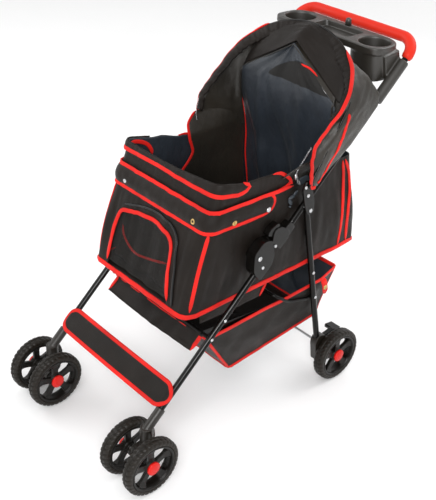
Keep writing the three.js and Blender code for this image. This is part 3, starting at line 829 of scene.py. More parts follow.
def build_tray():
    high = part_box("tray")[1]
    half, top = 0.176, high.z
    front, back = 0.321, 0.428
    cup_x, cup_y = 0.126, 0.373
    plan = rounded_outline([(-half, front), (half, front), (half, back - 0.026), (half - 0.036, back),
                            (-half + 0.036, back), (-half, back - 0.026)], 0.030)
    solid = prism(plan, top - 0.018, top)
    for side in (NEAR, FAR):
        skirt = rounded_outline([(side * (cup_x - 0.052), front + 0.001),
                                 (side * (half - 0.0005), front + 0.001),
                                 (side * (half - 0.0005), back - 0.010),
                                 (side * (cup_x - 0.052), back - 0.001)], 0.042)
        body = prism(skirt, top - 0.087, top - 0.006, 0.90, (side * (cup_x - 0.002), cup_y))
        solid.add(body.verts, body.faces)
        web = [(0.392, 0.842), (0.366, 0.846), (0.350, 0.905), (0.404, 0.912), (0.414, 0.880)]
        ends = [[Vector((side * x, y, z)) for y, z in web] for x in (0.150, 0.1815)]
        faces = [(i, (i + 1) % 5, 5 + (i + 1) % 5, 5 + i) for i in range(5)] + [(4, 3, 2, 1, 0),
                                                                                (5, 6, 7, 8, 9)]
        solid.add(ends[0] + ends[1], faces)
        sweep(solid, straight(bar_at(0.800, side), bar_at(GRIP_Z - 0.003, side)), circle(0.0145, 36))
    tray = fix_normals(solid.object("tray_shell", TRAY_PLASTIC))
    modified(tray, "REMESH", "remesh", mode="VOXEL", voxel_size=0.0020)
    modified(tray, "SMOOTH", "smooth", factor=0.5, iterations=5)
    applied(tray)
    cutters = []
    for side in (NEAR, FAR):
        well = Shape()
        lathe(well, (side * cup_x, cup_y, 0), (0, 0, 1),
              [(top - 0.084, 0.033), (top - 0.004, 0.0400), (top + 0.004, 0.0440)], 72)
        cutters.append(fix_normals(well.object("well", TRAY_PLASTIC)))
        bore = Shape()
        sweep(bore, straight(bar_at(0.77, side), bar_at(0.94, side)), circle(TUBE_R + 0.0004, 32))
        cutters.append(fix_normals(bore.object("bore", TRAY_PLASTIC)))
        relief = Shape()
        sweep(relief, straight(bar_at(GRIP_Z - 0.001, side), bar_at(0.96, side)), circle(GRIP_BORE, 36))
        cutters.append(fix_normals(relief.object("relief", TRAY_PLASTIC)))
    recess = rounded_outline([(-0.066, 0.338), (0.066, 0.338), (0.066, 0.408), (-0.066, 0.408)], 0.014)
    cutters.append(fix_normals(prism(recess, top - 0.015, top + 0.001, 0.94, (0, 0.373)).object("recess",
            TRAY_PLASTIC)))
    without(tray, *cutters)
    modified(tray, "REMESH", "remesh", mode="VOXEL", voxel_size=0.0013, use_smooth_shade=True)
    modified(tray, "SMOOTH", "smooth", factor=0.5, iterations=4)
    applied(tray)
    settled(tray, "handle_frame", "black_plastic", "tray")
    knob = Shape()
    profile = [(0, 0.0085), (0.010, 0.0078), (0.0145, 0.0072), (0.0165, 0.0060), (0.0178, 0.0035),
               (0.018, 0.0008)]
    lathe(knob, (0, 0.417, top + 0.0003), (0, 0, 1), profile, 40)
    settled(knob.object("tray_stud", TRAY_PLASTIC), "handle_frame", "black_plastic", "tray_knob")


build_tray()


# ---------------------------------------------------------------- cabin: where its wall lies
HEM_FRONT_Z, HEM_REAR_Z = 0.386, 0.405
RIM_Z = 0.683
COLLAR_TOP, COLLAR_LOW = 0.639, 0.592
BOTTOM = {"half": 0.1775, "front": -0.252, "rear": 0.334, "r_front": 0.036, "r_far": 0.020, "r_rear": 0.016}
RIM = {"half": 0.1700, "front": -0.163, "rear": 0.283, "r_front": 0.024, "r_far": 0.014, "r_rear": 0.020}
# height of the cloth's top edge along each side, by y
NEAR_TOP = [(-0.165, 0.704), (-0.071, 0.689), (0.020, 0.686), (0.056, 0.668), (0.074, 0.642),
            (0.120, 0.640), (0.165, 0.662), (0.30, 0.662)]
FAR_TOP = [(-0.165, 0.693), (-0.060, 0.676), (0.020, 0.658), (0.060, 0.650), (0.080, 0.641),
           (0.120, 0.640), (0.165, 0.662), (0.30, 0.662)]


def plan_at(z):
    """The wall's plan at a height: half width, front and rear, and the two corner radii."""
    t = (z - HEM_FRONT_Z) / (RIM_Z - HEM_FRONT_Z)
    return {key: (lerp(BOTTOM[key], RIM[key], t) if key in ("half", "front", "rear")
                  else lerp(BOTTOM[key], RIM[key], clamp(t)))
            for key in BOTTOM}


def on_plan(s, plan):
    """A point round a rounded rectangle: s runs 0 to 1 along the front from far to near, 1 to 2 along the
    near side, 2 to 3 along the rear and 3 to 4 along the far side."""
    half, front, rear = plan["half"], plan["front"], plan["rear"]
    corners = [Vector((-half, front)), Vector((half, front)), Vector((half, rear)), Vector((-half, rear))]
    radii = [plan.get("r_far", plan["r_front"]), plan["r_front"], plan["r_rear"], plan["r_rear"]]
    s %= 4
    k, f = int(s), s - int(s)
    start, end = corners[k], corners[(k + 1) % 4]
    length = (end - start).length
    for near_start, radius, corner, gone in ((True, radii[k], start, f * length),
                                             (False, radii[(k + 1) % 4], end, (1 - f) * length)):
        if gone < radius:
            t = 0.5 + 0.5 * gone / radius if near_start else 0.5 - 0.5 * gone / radius
            i = k if near_start else (k + 1) % 4
            a = corner + (corners[i - 1] - corner).normalized() * radius
            b = corner + (corners[(i + 1) % 4] - corner).normalized() * radius
            return a.lerp(corner, t).lerp(corner.lerp(b, t), t)
    return start.lerp(end, f)


def hem_z(s):
    p = on_plan(s, BOTTOM)
    return lerp(HEM_FRONT_Z, HEM_REAR_Z, (p.y - BOTTOM["front"]) / (BOTTOM["rear"] - BOTTOM["front"]))


def top_z(s):
    s %= 4
    if s < 1:
        return lerp(FAR_TOP[0][1], NEAR_TOP[0][1], s) - 0.007 * math.sin(math.pi * s)
    y = on_plan(s, RIM).y
    return along_table(NEAR_TOP if s < 2 else FAR_TOP if s > 3 else [(0.0, 0.662), (1.0, 0.662)], y)


def wall_ripple(s, z):
    """How far the cloth stands out: crowned between its seams, with soft upright folds."""
    up = clamp((z - hem_z(s)) / (COLLAR_LOW - hem_z(s)))
    belly = math.sin(math.pi * up)
    folds = noise.noise(Vector((s * 11, z * 3.0, 2.0))) * 0.0075 + noise.noise(Vector((s * 27, z * 9.0,
                                                                                       8.0))) * 0.0034
    small = noise.noise(Vector((s * 50, z * 34.0, 5.0))) * 0.0007
    return 0.003 * belly + folds * (0.25 + 0.75 * belly) + small


def wall(s, z, out=0.0):
    """A point of the cabin wall at a height, out of its face by so much."""
    plan = plan_at(z)
    p = on_plan(s, plan)
    q = on_plan(s + 0.004, plan)
    tangent = (q - p).normalized()
    face = Vector((tangent.y, -tangent.x, 0))
    return Vector((p.x, p.y, z)) + face * (out + wall_ripple(s, z))


def wall_normal(s, z):
    a = wall(s + 0.01, z) - wall(s - 0.01, z)
    b = wall(s, z + 0.004) - wall(s, z - 0.004)
    return a.cross(b).normalized()


def front_s(x, z):
    return clamp((x / plan_at(z)["half"] + 1) / 2, 0.0, 1.0)


def side_s(y, z, side=NEAR):
    plan = plan_at(z)
    t = (y - plan["front"]) / (plan["rear"] - plan["front"])
    return 1 + t if side == NEAR else 4 - t


def wall_tape(shape, marks, out=0.0016, width=TAPE_W, thick=0.0036, closed=False, mark=0):
    """Binding tape sewn on the cabin wall along (s, z) marks."""
    path = smooth_path([Vector((s, z * 4, 0)) for s, z in marks], 0.03, closed)
    points = [wall(p.x, p.y / 4, out) for p in path]
    normals = [wall_normal(p.x, p.y / 4) for p in path]
    sweep(shape, points, flat_section(width, thick), normals, closed, mark, None if closed else rounded_end)
    return shape


# ---------------------------------------------------------------- front door of net
DOOR = [(-0.131, 0.403), (-0.133, 0.450), (-0.131, 0.505), (-0.122, 0.532), (-0.095, 0.542),
        (-0.022, 0.554),
        (0.040, 0.550), (0.070, 0.535), (0.084, 0.500), (0.097, 0.440), (0.107, 0.403)]


def door_edge(side, z):
    """x of the door's outline at a height, on its near or far side."""
    table = [(b, a) for a, b in (DOOR[5:][::-1] if side == NEAR else DOOR[:6])]
    return along_table(table, z)


def in_door(p, inset=0.0):
    if not 0.395 < p.z < 0.552 or p.y > -0.10:
        return False
    return door_edge(FAR, p.z) + inset < p.x < door_edge(NEAR, p.z) - inset


def build_cabin():
    rows = []
    samples = [*np.linspace(0, 1, 64, endpoint=False), *np.linspace(1, 2, 96, endpoint=False),
               *np.linspace(2, 3, 40, endpoint=False), *np.linspace(3, 4, 96, endpoint=False)]
    levels = 46
    for i in range(levels + 1):
        rows.append([wall(s, lerp(hem_z(s), top_z(s), i / levels)) for s in samples])
    shape = Shape().grid(rows, closed=True, keep=lambda p: not in_door(p, 0.003))
    floor = []
    for i in range(13):
        share = 1 - i / 13 * 0.98
        floor.append([Vector((p.x * share, 0.04 + (p.y - 0.04) * share,
                              hem_z(s) + 0.002 - 0.006 * (1 - share)))
                      for s, p in ((s, wall(s, hem_z(s))) for s in samples)])
    shape.grid(floor, closed=True)
    cabin = thick_cloth(shape.object("cabin_cloth", CLOTH, LINING))
    settled(cabin, "front_frame", "cloth", "cabin")
    sinks_with_fold(cabin)
    return cabin


def build_cabin_tape():
    shape = Shape()
    ring = [(s, hem_z(s) + 0.001) for s in np.linspace(0, 4, 80, endpoint=False)]
    points = [wall(s, z, 0.0005) for s, z in ring]
    sweep(shape, points, flat_section(0.0125, 0.006), [wall_normal(s, z) for s, z in ring], closed=True)
    for z in (COLLAR_TOP, COLLAR_LOW):
        start, end = side_s(0.074, z, FAR), side_s(0.074 if z == COLLAR_TOP else -0.002, z) + 4
        if z == COLLAR_LOW:
            start = side_s(-0.002, z, FAR)
        wall_tape(shape, [(s, z) for s in np.linspace(start, end, 40)], 0.006)
    for side in (NEAR, FAR):
        seam = [(side_s(-0.186, 0.590, side), 0.590), (side_s(-0.215, 0.50, side), 0.50),
                (side_s(-0.240, 0.40, side), 0.40)]
        wall_tape(shape, seam, width=0.0095)
        for low_y, mid_y, high_y in ((0.265, 0.258, 0.252), (0.300, 0.282, 0.262)):
            wall_tape(shape,
                      [(side_s(high_y, 0.655, side), 0.655), (side_s(mid_y + 0.004, 0.60, side), 0.60),
                              (side_s(mid_y + 0.008, 0.50, side), 0.50),
                              (side_s(low_y, 0.41, side), 0.41)], width=0.009)
        top_of = NEAR_TOP if side == NEAR else FAR_TOP
        # the rounded end of the rim on each side, from its top edge down to the collar's seam
        end = [(y, along_table(top_of, y)) for y in (0.005, 0.030, 0.052, 0.064, 0.070)]
        end += [(0.066, 0.648), (0.050, 0.641), (0.020, 0.640)]
        wall_tape(shape, [(side_s(y, z, side), z) for y, z in end], 0.003, width=0.009)
    tape = shape.object("cabin_piping", TAPE)
    settled(tape, "front_frame", "cloth")
    sinks_with_fold(tape)


def build_collar():
    """The padded roll round the cabin between the two red seams."""
    def z_at(q, taper):
        middle = (COLLAR_TOP + COLLAR_LOW) / 2
        return middle + (q - 0.5) * (COLLAR_TOP - COLLAR_LOW) * taper
    near_end, far_end = side_s(0.012, 0.615) + 4, side_s(0.012, 0.615, FAR)
    rows = []
    count = 120
    for k in range(13):
        q = k / 12
        row = []
        for i in range(count + 1):
            s = lerp(far_end, near_end, i / count)
            gone = min(i, count - i) / count * (near_end - far_end)
            taper = math.sqrt(clamp(1 - (1 - clamp(gone / 0.055)) ** 2, 0.02, 1))
            puff = 0.0035 + 0.0085 * math.sin(math.pi * q) ** 0.7 * taper
            puff += 0.0016 * noise.noise(Vector((s * 20, q * 2, 4))) * math.sin(math.pi * q)
            row.append(wall(s, z_at(q, taper), puff - 0.7 * wall_ripple(s, z_at(q, taper))))
        rows.append(row)
    made = thick_cloth(Shape().grid(rows).object("collar_roll", CLOTH, CLOTH))
    settled(made, "front_frame", "cloth")
    cut_size(rows)
    sinks_with_fold(made)
    shape = Shape()
    for side, end in ((NEAR, near_end), (FAR, far_end)):
        sign = -1 if side == NEAR else 1
        middle = (COLLAR_TOP + COLLAR_LOW) / 2
        arc = []
        for i in range(9):
            a = math.pi * (i / 8 - 0.5)
            arc.append((end + sign * 0.050 * (1 - math.cos(a)), middle + 0.0235 * math.sin(a)))
        wall_tape(shape, arc, 0.006, width=0.009)
    rounds = shape.object("collar_ends", TAPE)
    settled(rounds, "front_frame", "cloth")
    sinks_with_fold(rounds)


def build_rim_flap():
    """The band along the front rim that holds the closed hood. Its edge and round ends are bound in red."""
    near_end, far_end = side_s(-0.072, RIM_Z) + 4, side_s(-0.085, RIM_Z, FAR)
    near_low = [(-0.165, RIM_Z - 0.006), (-0.147, 0.675), (-0.10, 0.667), (-0.074, 0.668)]

    def low(s):
        return along_table(near_low, on_plan(s, RIM).y) if 1 <= s % 4 < 2 else RIM_Z - 0.006
    rows = []
    for k in range(7):
        q = k / 6
        row = []
        for i in range(91):
            s = lerp(far_end, near_end, i / 90)
            z = lerp(low(s), top_z(s) + 0.0015, q)
            row.append(wall(s, z, 0.0035 + 0.0025 * math.sin(math.pi * q)))
        rows.append(row)
    made = thick_cloth(Shape().grid(rows).object("rim_band", CLOTH, CLOTH), 0.003)
    settled(made, "front_frame", "cloth")
    cut_size(rows)
    sinks_with_fold(made)
    marks = [(far_end + 0.02, top_z(far_end)), (far_end, top_z(far_end) - 0.006),
             (far_end + 0.03, low(far_end) + 0.002)]
    marks += [(s, low(s) + 0.001 * math.sin(s * 9))
              for s in np.linspace(far_end + 0.07, near_end - 0.07, 24)]
    marks += [(near_end - 0.02, low(near_end) + 0.004), (near_end, 0.681), (near_end - 0.03, 0.690),
              (near_end - 0.05, 0.695)]
    shape = wall_tape(Shape(), marks, 0.006)
    inner = smooth_path([wall(side_s(y, z, FAR), z, -0.0035) for y, z in
                         ((-0.150, 0.684), (-0.1235, 0.6773), (-0.105, 0.668), (-0.0942, 0.6595),
                          (-0.085, 0.645), (-0.0809, 0.6304))], 0.005)
    sweep(shape, inner, flat_section(TAPE_W, 0.003), [Vector((-1, 0, 0))] * len(inner), taper=rounded_end)
    tape = shape.object("rim_band_piping", TAPE)
    settled(tape, "front_frame", "cloth")
    sinks_with_fold(tape)


def build_door():
    rows = []
    for i in range(29):
        z = lerp(0.4035, 0.5515, i / 28)
        left, right = door_edge(FAR, z), door_edge(NEAR, z)
        row = []
        for k in range(41):
            x = lerp(left, right, k / 40)
            sag = 0.004 * math.sin(math.pi * k / 40) * math.sin(math.pi * i / 28)
            row.append(wall(front_s(x, z), z, -0.001 - sag))
        rows.append(row)
    net = Shape().grid(rows).object("door_net", NET)
    settled(net, "front_door", "mesh", "mesh_door")
    cut_size(rows)
    shape = Shape()
    wall_tape(shape, [(front_s(x, z), z) for x, z in DOOR], 0.0022, thick=0.0042)
    settled(shape.object("door_piping", TAPE), "front_door", "cloth")
    # the closed coil zip that runs round the door
    coil = Shape()
    line = [(front_s(-0.118, 0.548), 0.552), (front_s(-0.022, 0.573), 0.575),
            (front_s(0.055, 0.569), 0.571), (front_s(0.090, 0.548), 0.548),
            (front_s(0.106, 0.500), 0.500), (front_s(0.118, 0.440), 0.440), (front_s(0.127, 0.395), 0.396)]
    wall_tape(coil, line, 0.003, width=0.0055, thick=0.0046)
    zip_line = coil.object("door_zip", ZIP)
    settled(zip_line, "front_frame", "black_plastic")
    sinks_with_fold(zip_line)


def build_inner_arc():
    """A red seam on the cushion flap behind the net."""
    marks = [(-0.118, 0.496), (-0.105, 0.476), (-0.082, 0.459), (-0.048, 0.449), (0.005, 0.456),
             (0.066, 0.474)]
    arc = smooth_path([wall(front_s(x, z), z, -0.011) for x, z in marks], 0.006)
    shape = Shape()
    sweep(shape, arc, flat_section(0.006, 0.003), [Vector((0, -1, 0.3))] * len(arc), taper=rounded_end)
    seam = shape.object("inner_flap_seam", TAPE)
    settled(seam, "front_frame", "cloth")
    sinks_with_fold(seam)
    rows = []
    for i in range(13):
        z = lerp(0.405, 0.548, i / 12)
        rows.append([wall(front_s(lerp(-0.140, 0.120, k / 20), z), z,
                          -0.025 - 0.003 * math.sin(k * 0.7 + i * 0.4)) for k in range(21)])
    flap = thick_cloth(Shape().grid(rows).object("inner_flap", CLOTH, LINING))
    settled(flap, "front_frame", "cloth")
    cut_size(rows)
    sinks_with_fold(flap)


def snap(shape, at, outward, radius=0.0070, ring=False):
    profile = [(-0.001, radius), (0.0016, radius), (0.0026, radius * 0.85), (0.0030, radius * 0.5)]
    profile += [(0.0012, radius * 0.42), (0.0010, 0.0006)] if ring else [(0.0034, radius * 0.25),
                                                                         (0.0035, 0.0006)]
    return lathe(shape, at, outward, profile, 28)


def build_snaps():
    silver, brass = Shape(), Shape()
    for side in (NEAR, FAR):
        s = side_s(-0.010, 0.603, side)
        snap(silver, wall(s, 0.603, 0.0105), wall_normal(s, 0.603))
        s = side_s(-0.118, 0.603, side)
        snap(brass, wall(s, 0.603, 0.009), wall_normal(s, 0.603), ring=True)
        s = front_s(side * 0.128, 0.608)
        snap(brass if side == NEAR else silver, wall(s, 0.608, 0.0095), wall_normal(s, 0.608),
             ring=side == NEAR)
    for made in (silver.object("collar_snaps", STEEL), brass.object("collar_eyelets", BRASS)):
        settled(made, "front_frame", "steel")
        sinks_with_fold(made)


build_cabin()
build_cabin_tape()
build_collar()
build_rim_flap()
build_door()
build_inner_arc()
build_snaps()


# ---------------------------------------------------------------- hood
SHOULDER_Z = 0.826  # above this the hood's rear edge leaves the handle tubes
# the inner back panel leans forward a little and ends in a gable under the hood
BACK_HALF = 0.166
GABLE_Z = 0.805
APEX = (0.222, 0.912)


def back_y(z):
    return along_table([(0.40, 0.262), (0.60, 0.240), (GABLE_Z, 0.205), (APEX[1], APEX[0])], z)


def back_half(z):
    return BACK_HALF if z < GABLE_Z else BACK_HALF * (APEX[1] - z) / (APEX[1] - GABLE_Z)


HOOD_LEAD = [(0.0, -0.002), (0.38, 0.004), (0.51, 0.012), (0.64, 0.021), (0.732, 0.036), (0.793, 0.046),
             (0.829, 0.050),
             (0.8855, 0.038), (0.93, 0.020), (0.97, 0.004), (1.0, -0.010)]


def hood_front(u):
    """The hood's front edge: it stands before the wire low down and meets it higher up."""
    return hoop_point(u, HOOP_HALF - 0.001, HOOP_HEIGHT + 0.003, -along_table(HOOD_LEAD, abs(u)))


def hood_rear(u):
    """The hood's rear edge: down the handle tubes, and over the back panel's gable between them."""
    t = abs(u)
    sign = 1 if u >= 0 else -1
    tube_z, tube_x = SHOULDER_Z, 0.2045
    if t > 0.34:
        z = lerp(tube_z, 0.634, clamp((t - 0.34) / 0.64) ** 1.2)
        return Vector((sign * lerp(tube_x, 0.188, clamp((t - 0.75) / 0.25)),
                       min(bar_at(z).y - 0.004, 0.318), z))
    corner = Vector((sign * (BACK_HALF + 0.004), back_y(GABLE_Z) + 0.010, GABLE_Z + 0.004))
    if t > 0.24:
        tube = Vector((sign * tube_x, min(bar_at(tube_z).y - 0.004, 0.318), tube_z))
        return corner.lerp(tube, (t - 0.24) / 0.10)
    return Vector((0, APEX[0] + 0.006, APEX[1] + 0.006)).lerp(corner, t / 0.24)


def hood_point(u, w):
    """Over the hood: u from near (1) over the top to far (-1), w from its front edge to its rear edge."""
    a, b = hood_front(u), hood_rear(u)
    p = a.lerp(b, w)
    away = Vector((p.x * 1.2, 0, max(0.0, p.z - 0.66))).normalized()
    side = clamp((abs(u) - 0.35) / 0.4)
    fullness = 0.010 * math.sin(math.pi * w) * (1 - 0.3 * side)
    # low on the sides a valley runs between the front edge and the second seam
    fades = math.sin(math.pi * clamp((1 - abs(u)) / 0.45))
    valley = -0.016 * side * math.exp(-((w - 0.19) / 0.10) ** 2) * fades
    ripple = 0.0045 * noise.noise(Vector((u * 9, w * 3.2, 1.0))) + 0.0025 * noise.noise(Vector((u * 17,
            w * 8, 6.0)))
    ripple *= math.sin(math.pi * clamp(w * 0.9 + 0.05))
    limit = 0.2075
    p = p + away * (fullness + valley + ripple)
    p.x = clamp(p.x, -limit - 0.004, limit + 0.004)
    return p


def hood_uv(y, z, side):
    """Where on the hood's side a point at y and z lies."""
    tries = [(side * u, w) for u in np.linspace(0.3, 1.0, 71) for w in np.linspace(0, 0.9, 46)]
    return min(tries, key=lambda m: (hood_point(*m).yz - Vector((y, z))).length)


# the seam behind the front edge, from the handle's shoulder to the hoop's pivot, as y and z
SECOND_SEAM = [(0.206, 0.800), (0.197, 0.765), (0.188, 0.738), (0.177, 0.705), (0.163, 0.678),
               (0.148, 0.655), (0.128, 0.641)]


def hood_normal(u, w):
    a = hood_point(u + 0.01, w) - hood_point(u - 0.01, w)
    b = hood_point(u, w + 0.02) - hood_point(u, w - 0.02)
    n = a.cross(b).normalized()
    p = hood_point(u, w)
    return n if n.dot(Vector((p.x, 0, p.z - 0.70))) > 0 else -n


def hood_tape(shape, marks, out=0.001, width=TAPE_W, thick=0.0036):
    path = smooth_path([Vector((u, w, 0)) for u, w in marks], 0.015)
    points = [hood_point(p.x, p.y) + hood_normal(p.x, p.y) * out for p in path]
    return sweep(shape, points, flat_section(width, thick), [hood_normal(p.x, p.y) for p in path],
                 taper=rounded_end)


def bent_hood(made, slot, *nodes):
    if nodes:
        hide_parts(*nodes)
    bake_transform(made)


def build_hood():
    rows = []
    across = 121
    for i in range(31):
        w = i / 30
        rows.append([hood_point(lerp(1.0, -1.0, k / (across - 1)), w) for k in range(across)])
    hood = thick_cloth(Shape().grid(rows).object("hood_cloth", CLOTH, HOOD_LINING))
    bent_hood(hood, "cloth", "canopy")
    cut_size(rows)
    shape = Shape()
    # the bound front edge and the second seam run on the near and far sides, low down
    for side in (1, -1):
        edge = 0.015 if side == NEAR else 0.05
        hood_tape(shape, [(side * u, edge) for u in np.linspace(0.27, 1.0, 18)], 0.0015, thick=0.005)
        hood_tape(shape, [hood_uv(y, z, side) for y, z in SECOND_SEAM], width=0.0085)
        hood_tape(shape, [(side * 0.997, w) for w in (0.0, 0.1, 0.2, 0.3)], width=0.008)
    bent_hood(shape.object("hood_piping", TAPE), "cloth")


def build_hood_sleeve():
    """The padded tunnel of cloth that the wire runs in, gathered along the front edge."""
    rows = []
    around = 16
    count = 220
    middle = Vector((0, hoop_point(0.65, HOOP_HALF, HOOP_HEIGHT, 0).y,
                     hoop_point(0.65, HOOP_HALF, HOOP_HEIGHT, 0).z))
    facing = Vector((0, -math.cos(HOOP_TILT), math.sin(HOOP_TILT)))
    for i in range(count + 1):
        u = lerp(0.70, -0.90, i / count)
        front = hood_front(u)
        inward = Vector((-math.copysign(1, u), 0, 0)) if abs(u) > 0.65 else middle - front
        inward = (inward - inward.dot(facing) * facing).normalized()
        gather = 0.0052 * noise.noise(Vector((u * 44, 3, 1))) + 0.0030 * noise.noise(Vector((u * 105, 1,
                                                                                             7)))
        half = lerp(0.0170, 0.0105, clamp((abs(u) - 0.35) / 0.4))
        if u > 0.3:
            half = lerp(half, 0.0050, clamp((u - 0.3) / 0.25))
        half += gather * 0.4
        centre = front + inward * (half + 0.001) - facing * 0.001
        row = []
        for k in range(around):
            a = 2 * math.pi * k / around
            pucker = 0.0022 * noise.noise(Vector((u * 62, k * 0.7, 4)))
            deep = 0.0058 + gather * 0.6 + pucker
            row.append(centre + inward * (half * math.cos(a)) + facing * (deep * math.sin(a)))
        rows.append(row)
    shape = Shape().grid(rows, closed=True)
    last = len(shape.verts) - around
    shape.faces += [tuple(reversed(range(around))), tuple(range(last, last + around))]
    shape.marks += [0, 0]
    sleeve = fix_normals(shape.object("hood_sleeve", CLOTH))
    settled(sleeve, "canopy_bow", "cloth")


def back_point(t, z, out=0.0):
    """On the back panel: t from -1 to 1 across it, at a height."""
    drape = 0.013 * noise.noise(Vector((t * 2.6 + z * 3.0, z * 5,
                                        3.0))) + 0.005 * noise.noise(Vector((t * 7 + z * 12, z * 5, 9.0)))
    # two long folds slant down from the far top corner
    for top, foot, wide, depth in ((-0.88, -0.42, 0.075, 0.016), (-0.55, -0.62, 0.06, 0.011),
                                   (0.35, 0.10, 0.10, 0.008)):
        centre = lerp(foot, top, clamp((z - 0.42) / 0.38))
        rise = math.sin(math.pi * clamp((z - 0.40) / 0.46)) ** 0.6
        drape -= depth * math.exp(-((t - centre) / wide) ** 2) * rise
    drape *= math.cos(t * math.pi / 2) ** 0.5 if abs(t) < 1 else 0
    return Vector((t * back_half(z), back_y(z) - out + drape, z))


MESH_LOW, MESH_HIGH, MESH_MIDDLE, MESH_HALF = 0.822, 0.872, 0.040, 0.104


def build_back_panel():
    rows, net = [], []
    for i in range(61):
        z = lerp(0.402, APEX[1] - 0.001, i / 60)
        rows.append([back_point(lerp(-1, 1, k / 40), z) for k in range(41)])

    def in_window(p):
        return MESH_LOW + 0.004 < p.z < window_top(p.x) - 0.004
    panel = thick_cloth(Shape().grid(rows, keep=lambda p: not in_window(p)).object("back_panel", LINING,
                                                                                   CLOTH))
    settled(panel, "front_frame", "cloth")
    sinks_with_fold(panel)
    for i in range(15):
        row = []
        for k in range(41):
            x = MESH_MIDDLE + MESH_HALF * lerp(-1, 1, k / 40)
            z = lerp(MESH_LOW - 0.002, window_top(x) + 0.002, i / 14)
            row.append(back_point(clamp(x / back_half(z), -1, 1), z, 0.0015))
        net.append(row)
    window = Shape().grid(net).object("back_window_net", DENSE_NET)
    settled(window, "front_frame", "mesh")
    cut_size(net)
    sinks_with_fold(window)
    shape = Shape()
    points = []
    for x in np.linspace(0.036, 0.096, 10):
        z = window_top(x)
        points.append(back_point(x / back_half(z), z, 0.003))
    sweep(shape, points, flat_section(0.005, 0.003), [Vector((0, -1, 0.2))] * len(points),
          taper=rounded_end)
    for side in (-1, 1):
        points = [back_point(side * 0.97, z, 0.003) for z in np.linspace(0.41, 0.72, 20)]
        sweep(shape, points, flat_section(0.0045, 0.003), [Vector((0, -1, 0.2))] * len(points),
              taper=rounded_end)
    arc = shape.object("back_panel_piping", TAPE)
    settled(arc, "front_frame", "cloth")
    sinks_with_fold(arc)


def window_top(x):
    return lerp(MESH_HIGH, MESH_LOW, clamp(abs(x - MESH_MIDDLE) / MESH_HALF) ** 2.0)


def build_hood_liner():
    """The hood's inner cloth, from the sleeve back to the back panel's gable and sides."""
    def rear(u):
        p = hood_rear(u)
        if abs(u) <= 0.24:
            return p + Vector((0, -0.010, -0.008))
        z = lerp(GABLE_Z, 0.640, (abs(u) - 0.24) / 0.72)
        return Vector((math.copysign(BACK_HALF - 0.006, u), back_y(z) - 0.006, z))
    rows = []
    for i in range(21):
        w = i / 20
        row = []
        for k in range(101):
            u = lerp(0.96, -0.96, k / 100)
            a = hood_point(u, 0.10)
            a = a - hood_normal(u, 0.10) * 0.006
            p = a.lerp(rear(u), w)
            sag = -0.016 * math.sin(math.pi * w) * math.cos(u * math.pi / 2)
            fold = 0.006 * noise.noise(Vector((u * 6, w * 4, 12))) * math.sin(math.pi * w)
            row.append(p + Vector((-0.3 * p.x, 0, 1)) * (sag * 0.8 + fold))
        rows.append(row)
    liner = thick_cloth(Shape().grid(rows).object("hood_liner", HOOD_LINING, HOOD_LINING))
    bent_hood(liner, "cloth")
    cut_size(rows)


# where the side liners' bound front edges run, as y and z
LINER_EDGE = [(0.551, 0.010), (0.563, 0.020), (0.585, 0.040), (0.604, 0.050), (0.622, 0.046),
              (0.640, 0.039), (0.660, 0.037),
              (0.678, 0.044), (0.690, 0.060), (0.701, 0.081)]


def liner_at(y, z, side, out=0.0):
    ripple = 0.0025 * noise.noise(Vector((y * 22, z * 9, side * 5)))
    lean = lerp(0.034, 0.006, clamp((y - 0.085) / 0.14)) * clamp((z - 0.655) / 0.046)
    half = plan_at(min(z, 0.66))["half"] + lean
    return Vector((side * (half - 0.0065 - out + ripple), y, z))


def build_side_liners():
    """The hood's inner cloth carried down inside the cabin's sides, its front edge bound in red."""
    for word, side in SIDES:
        rows = []
        for i in range(41):
            z = lerp(0.42, 0.701, i / 40)
            front = along_table(LINER_EDGE, z)
            rows.append([liner_at(lerp(front, back_y(z) - 0.004, k / 24), z, side) for k in range(25)])
        liner = thick_cloth(Shape().grid(rows).object(f"side_liner_{word}", HOOD_LINING, HOOD_LINING))
        settled(liner, "front_frame", "cloth")
        cut_size(rows)
        sinks_with_fold(liner)
        path = smooth_path([liner_at(y, z, side, 0.001) for z,
                            y in LINER_EDGE if side == FAR or z < 0.65], 0.005)
        shape = Shape()
        sweep(shape, path, flat_section(0.0085, 0.0034), [Vector((side, 0, 0))] * len(path),
              taper=rounded_end)
        edge = shape.object(f"side_liner_piping_{word}", TAPE)
        settled(edge, "front_frame", "cloth")
        sinks_with_fold(edge)


build_hood()
build_hood_sleeve()
build_back_panel()
build_hood_liner()
build_side_liners()


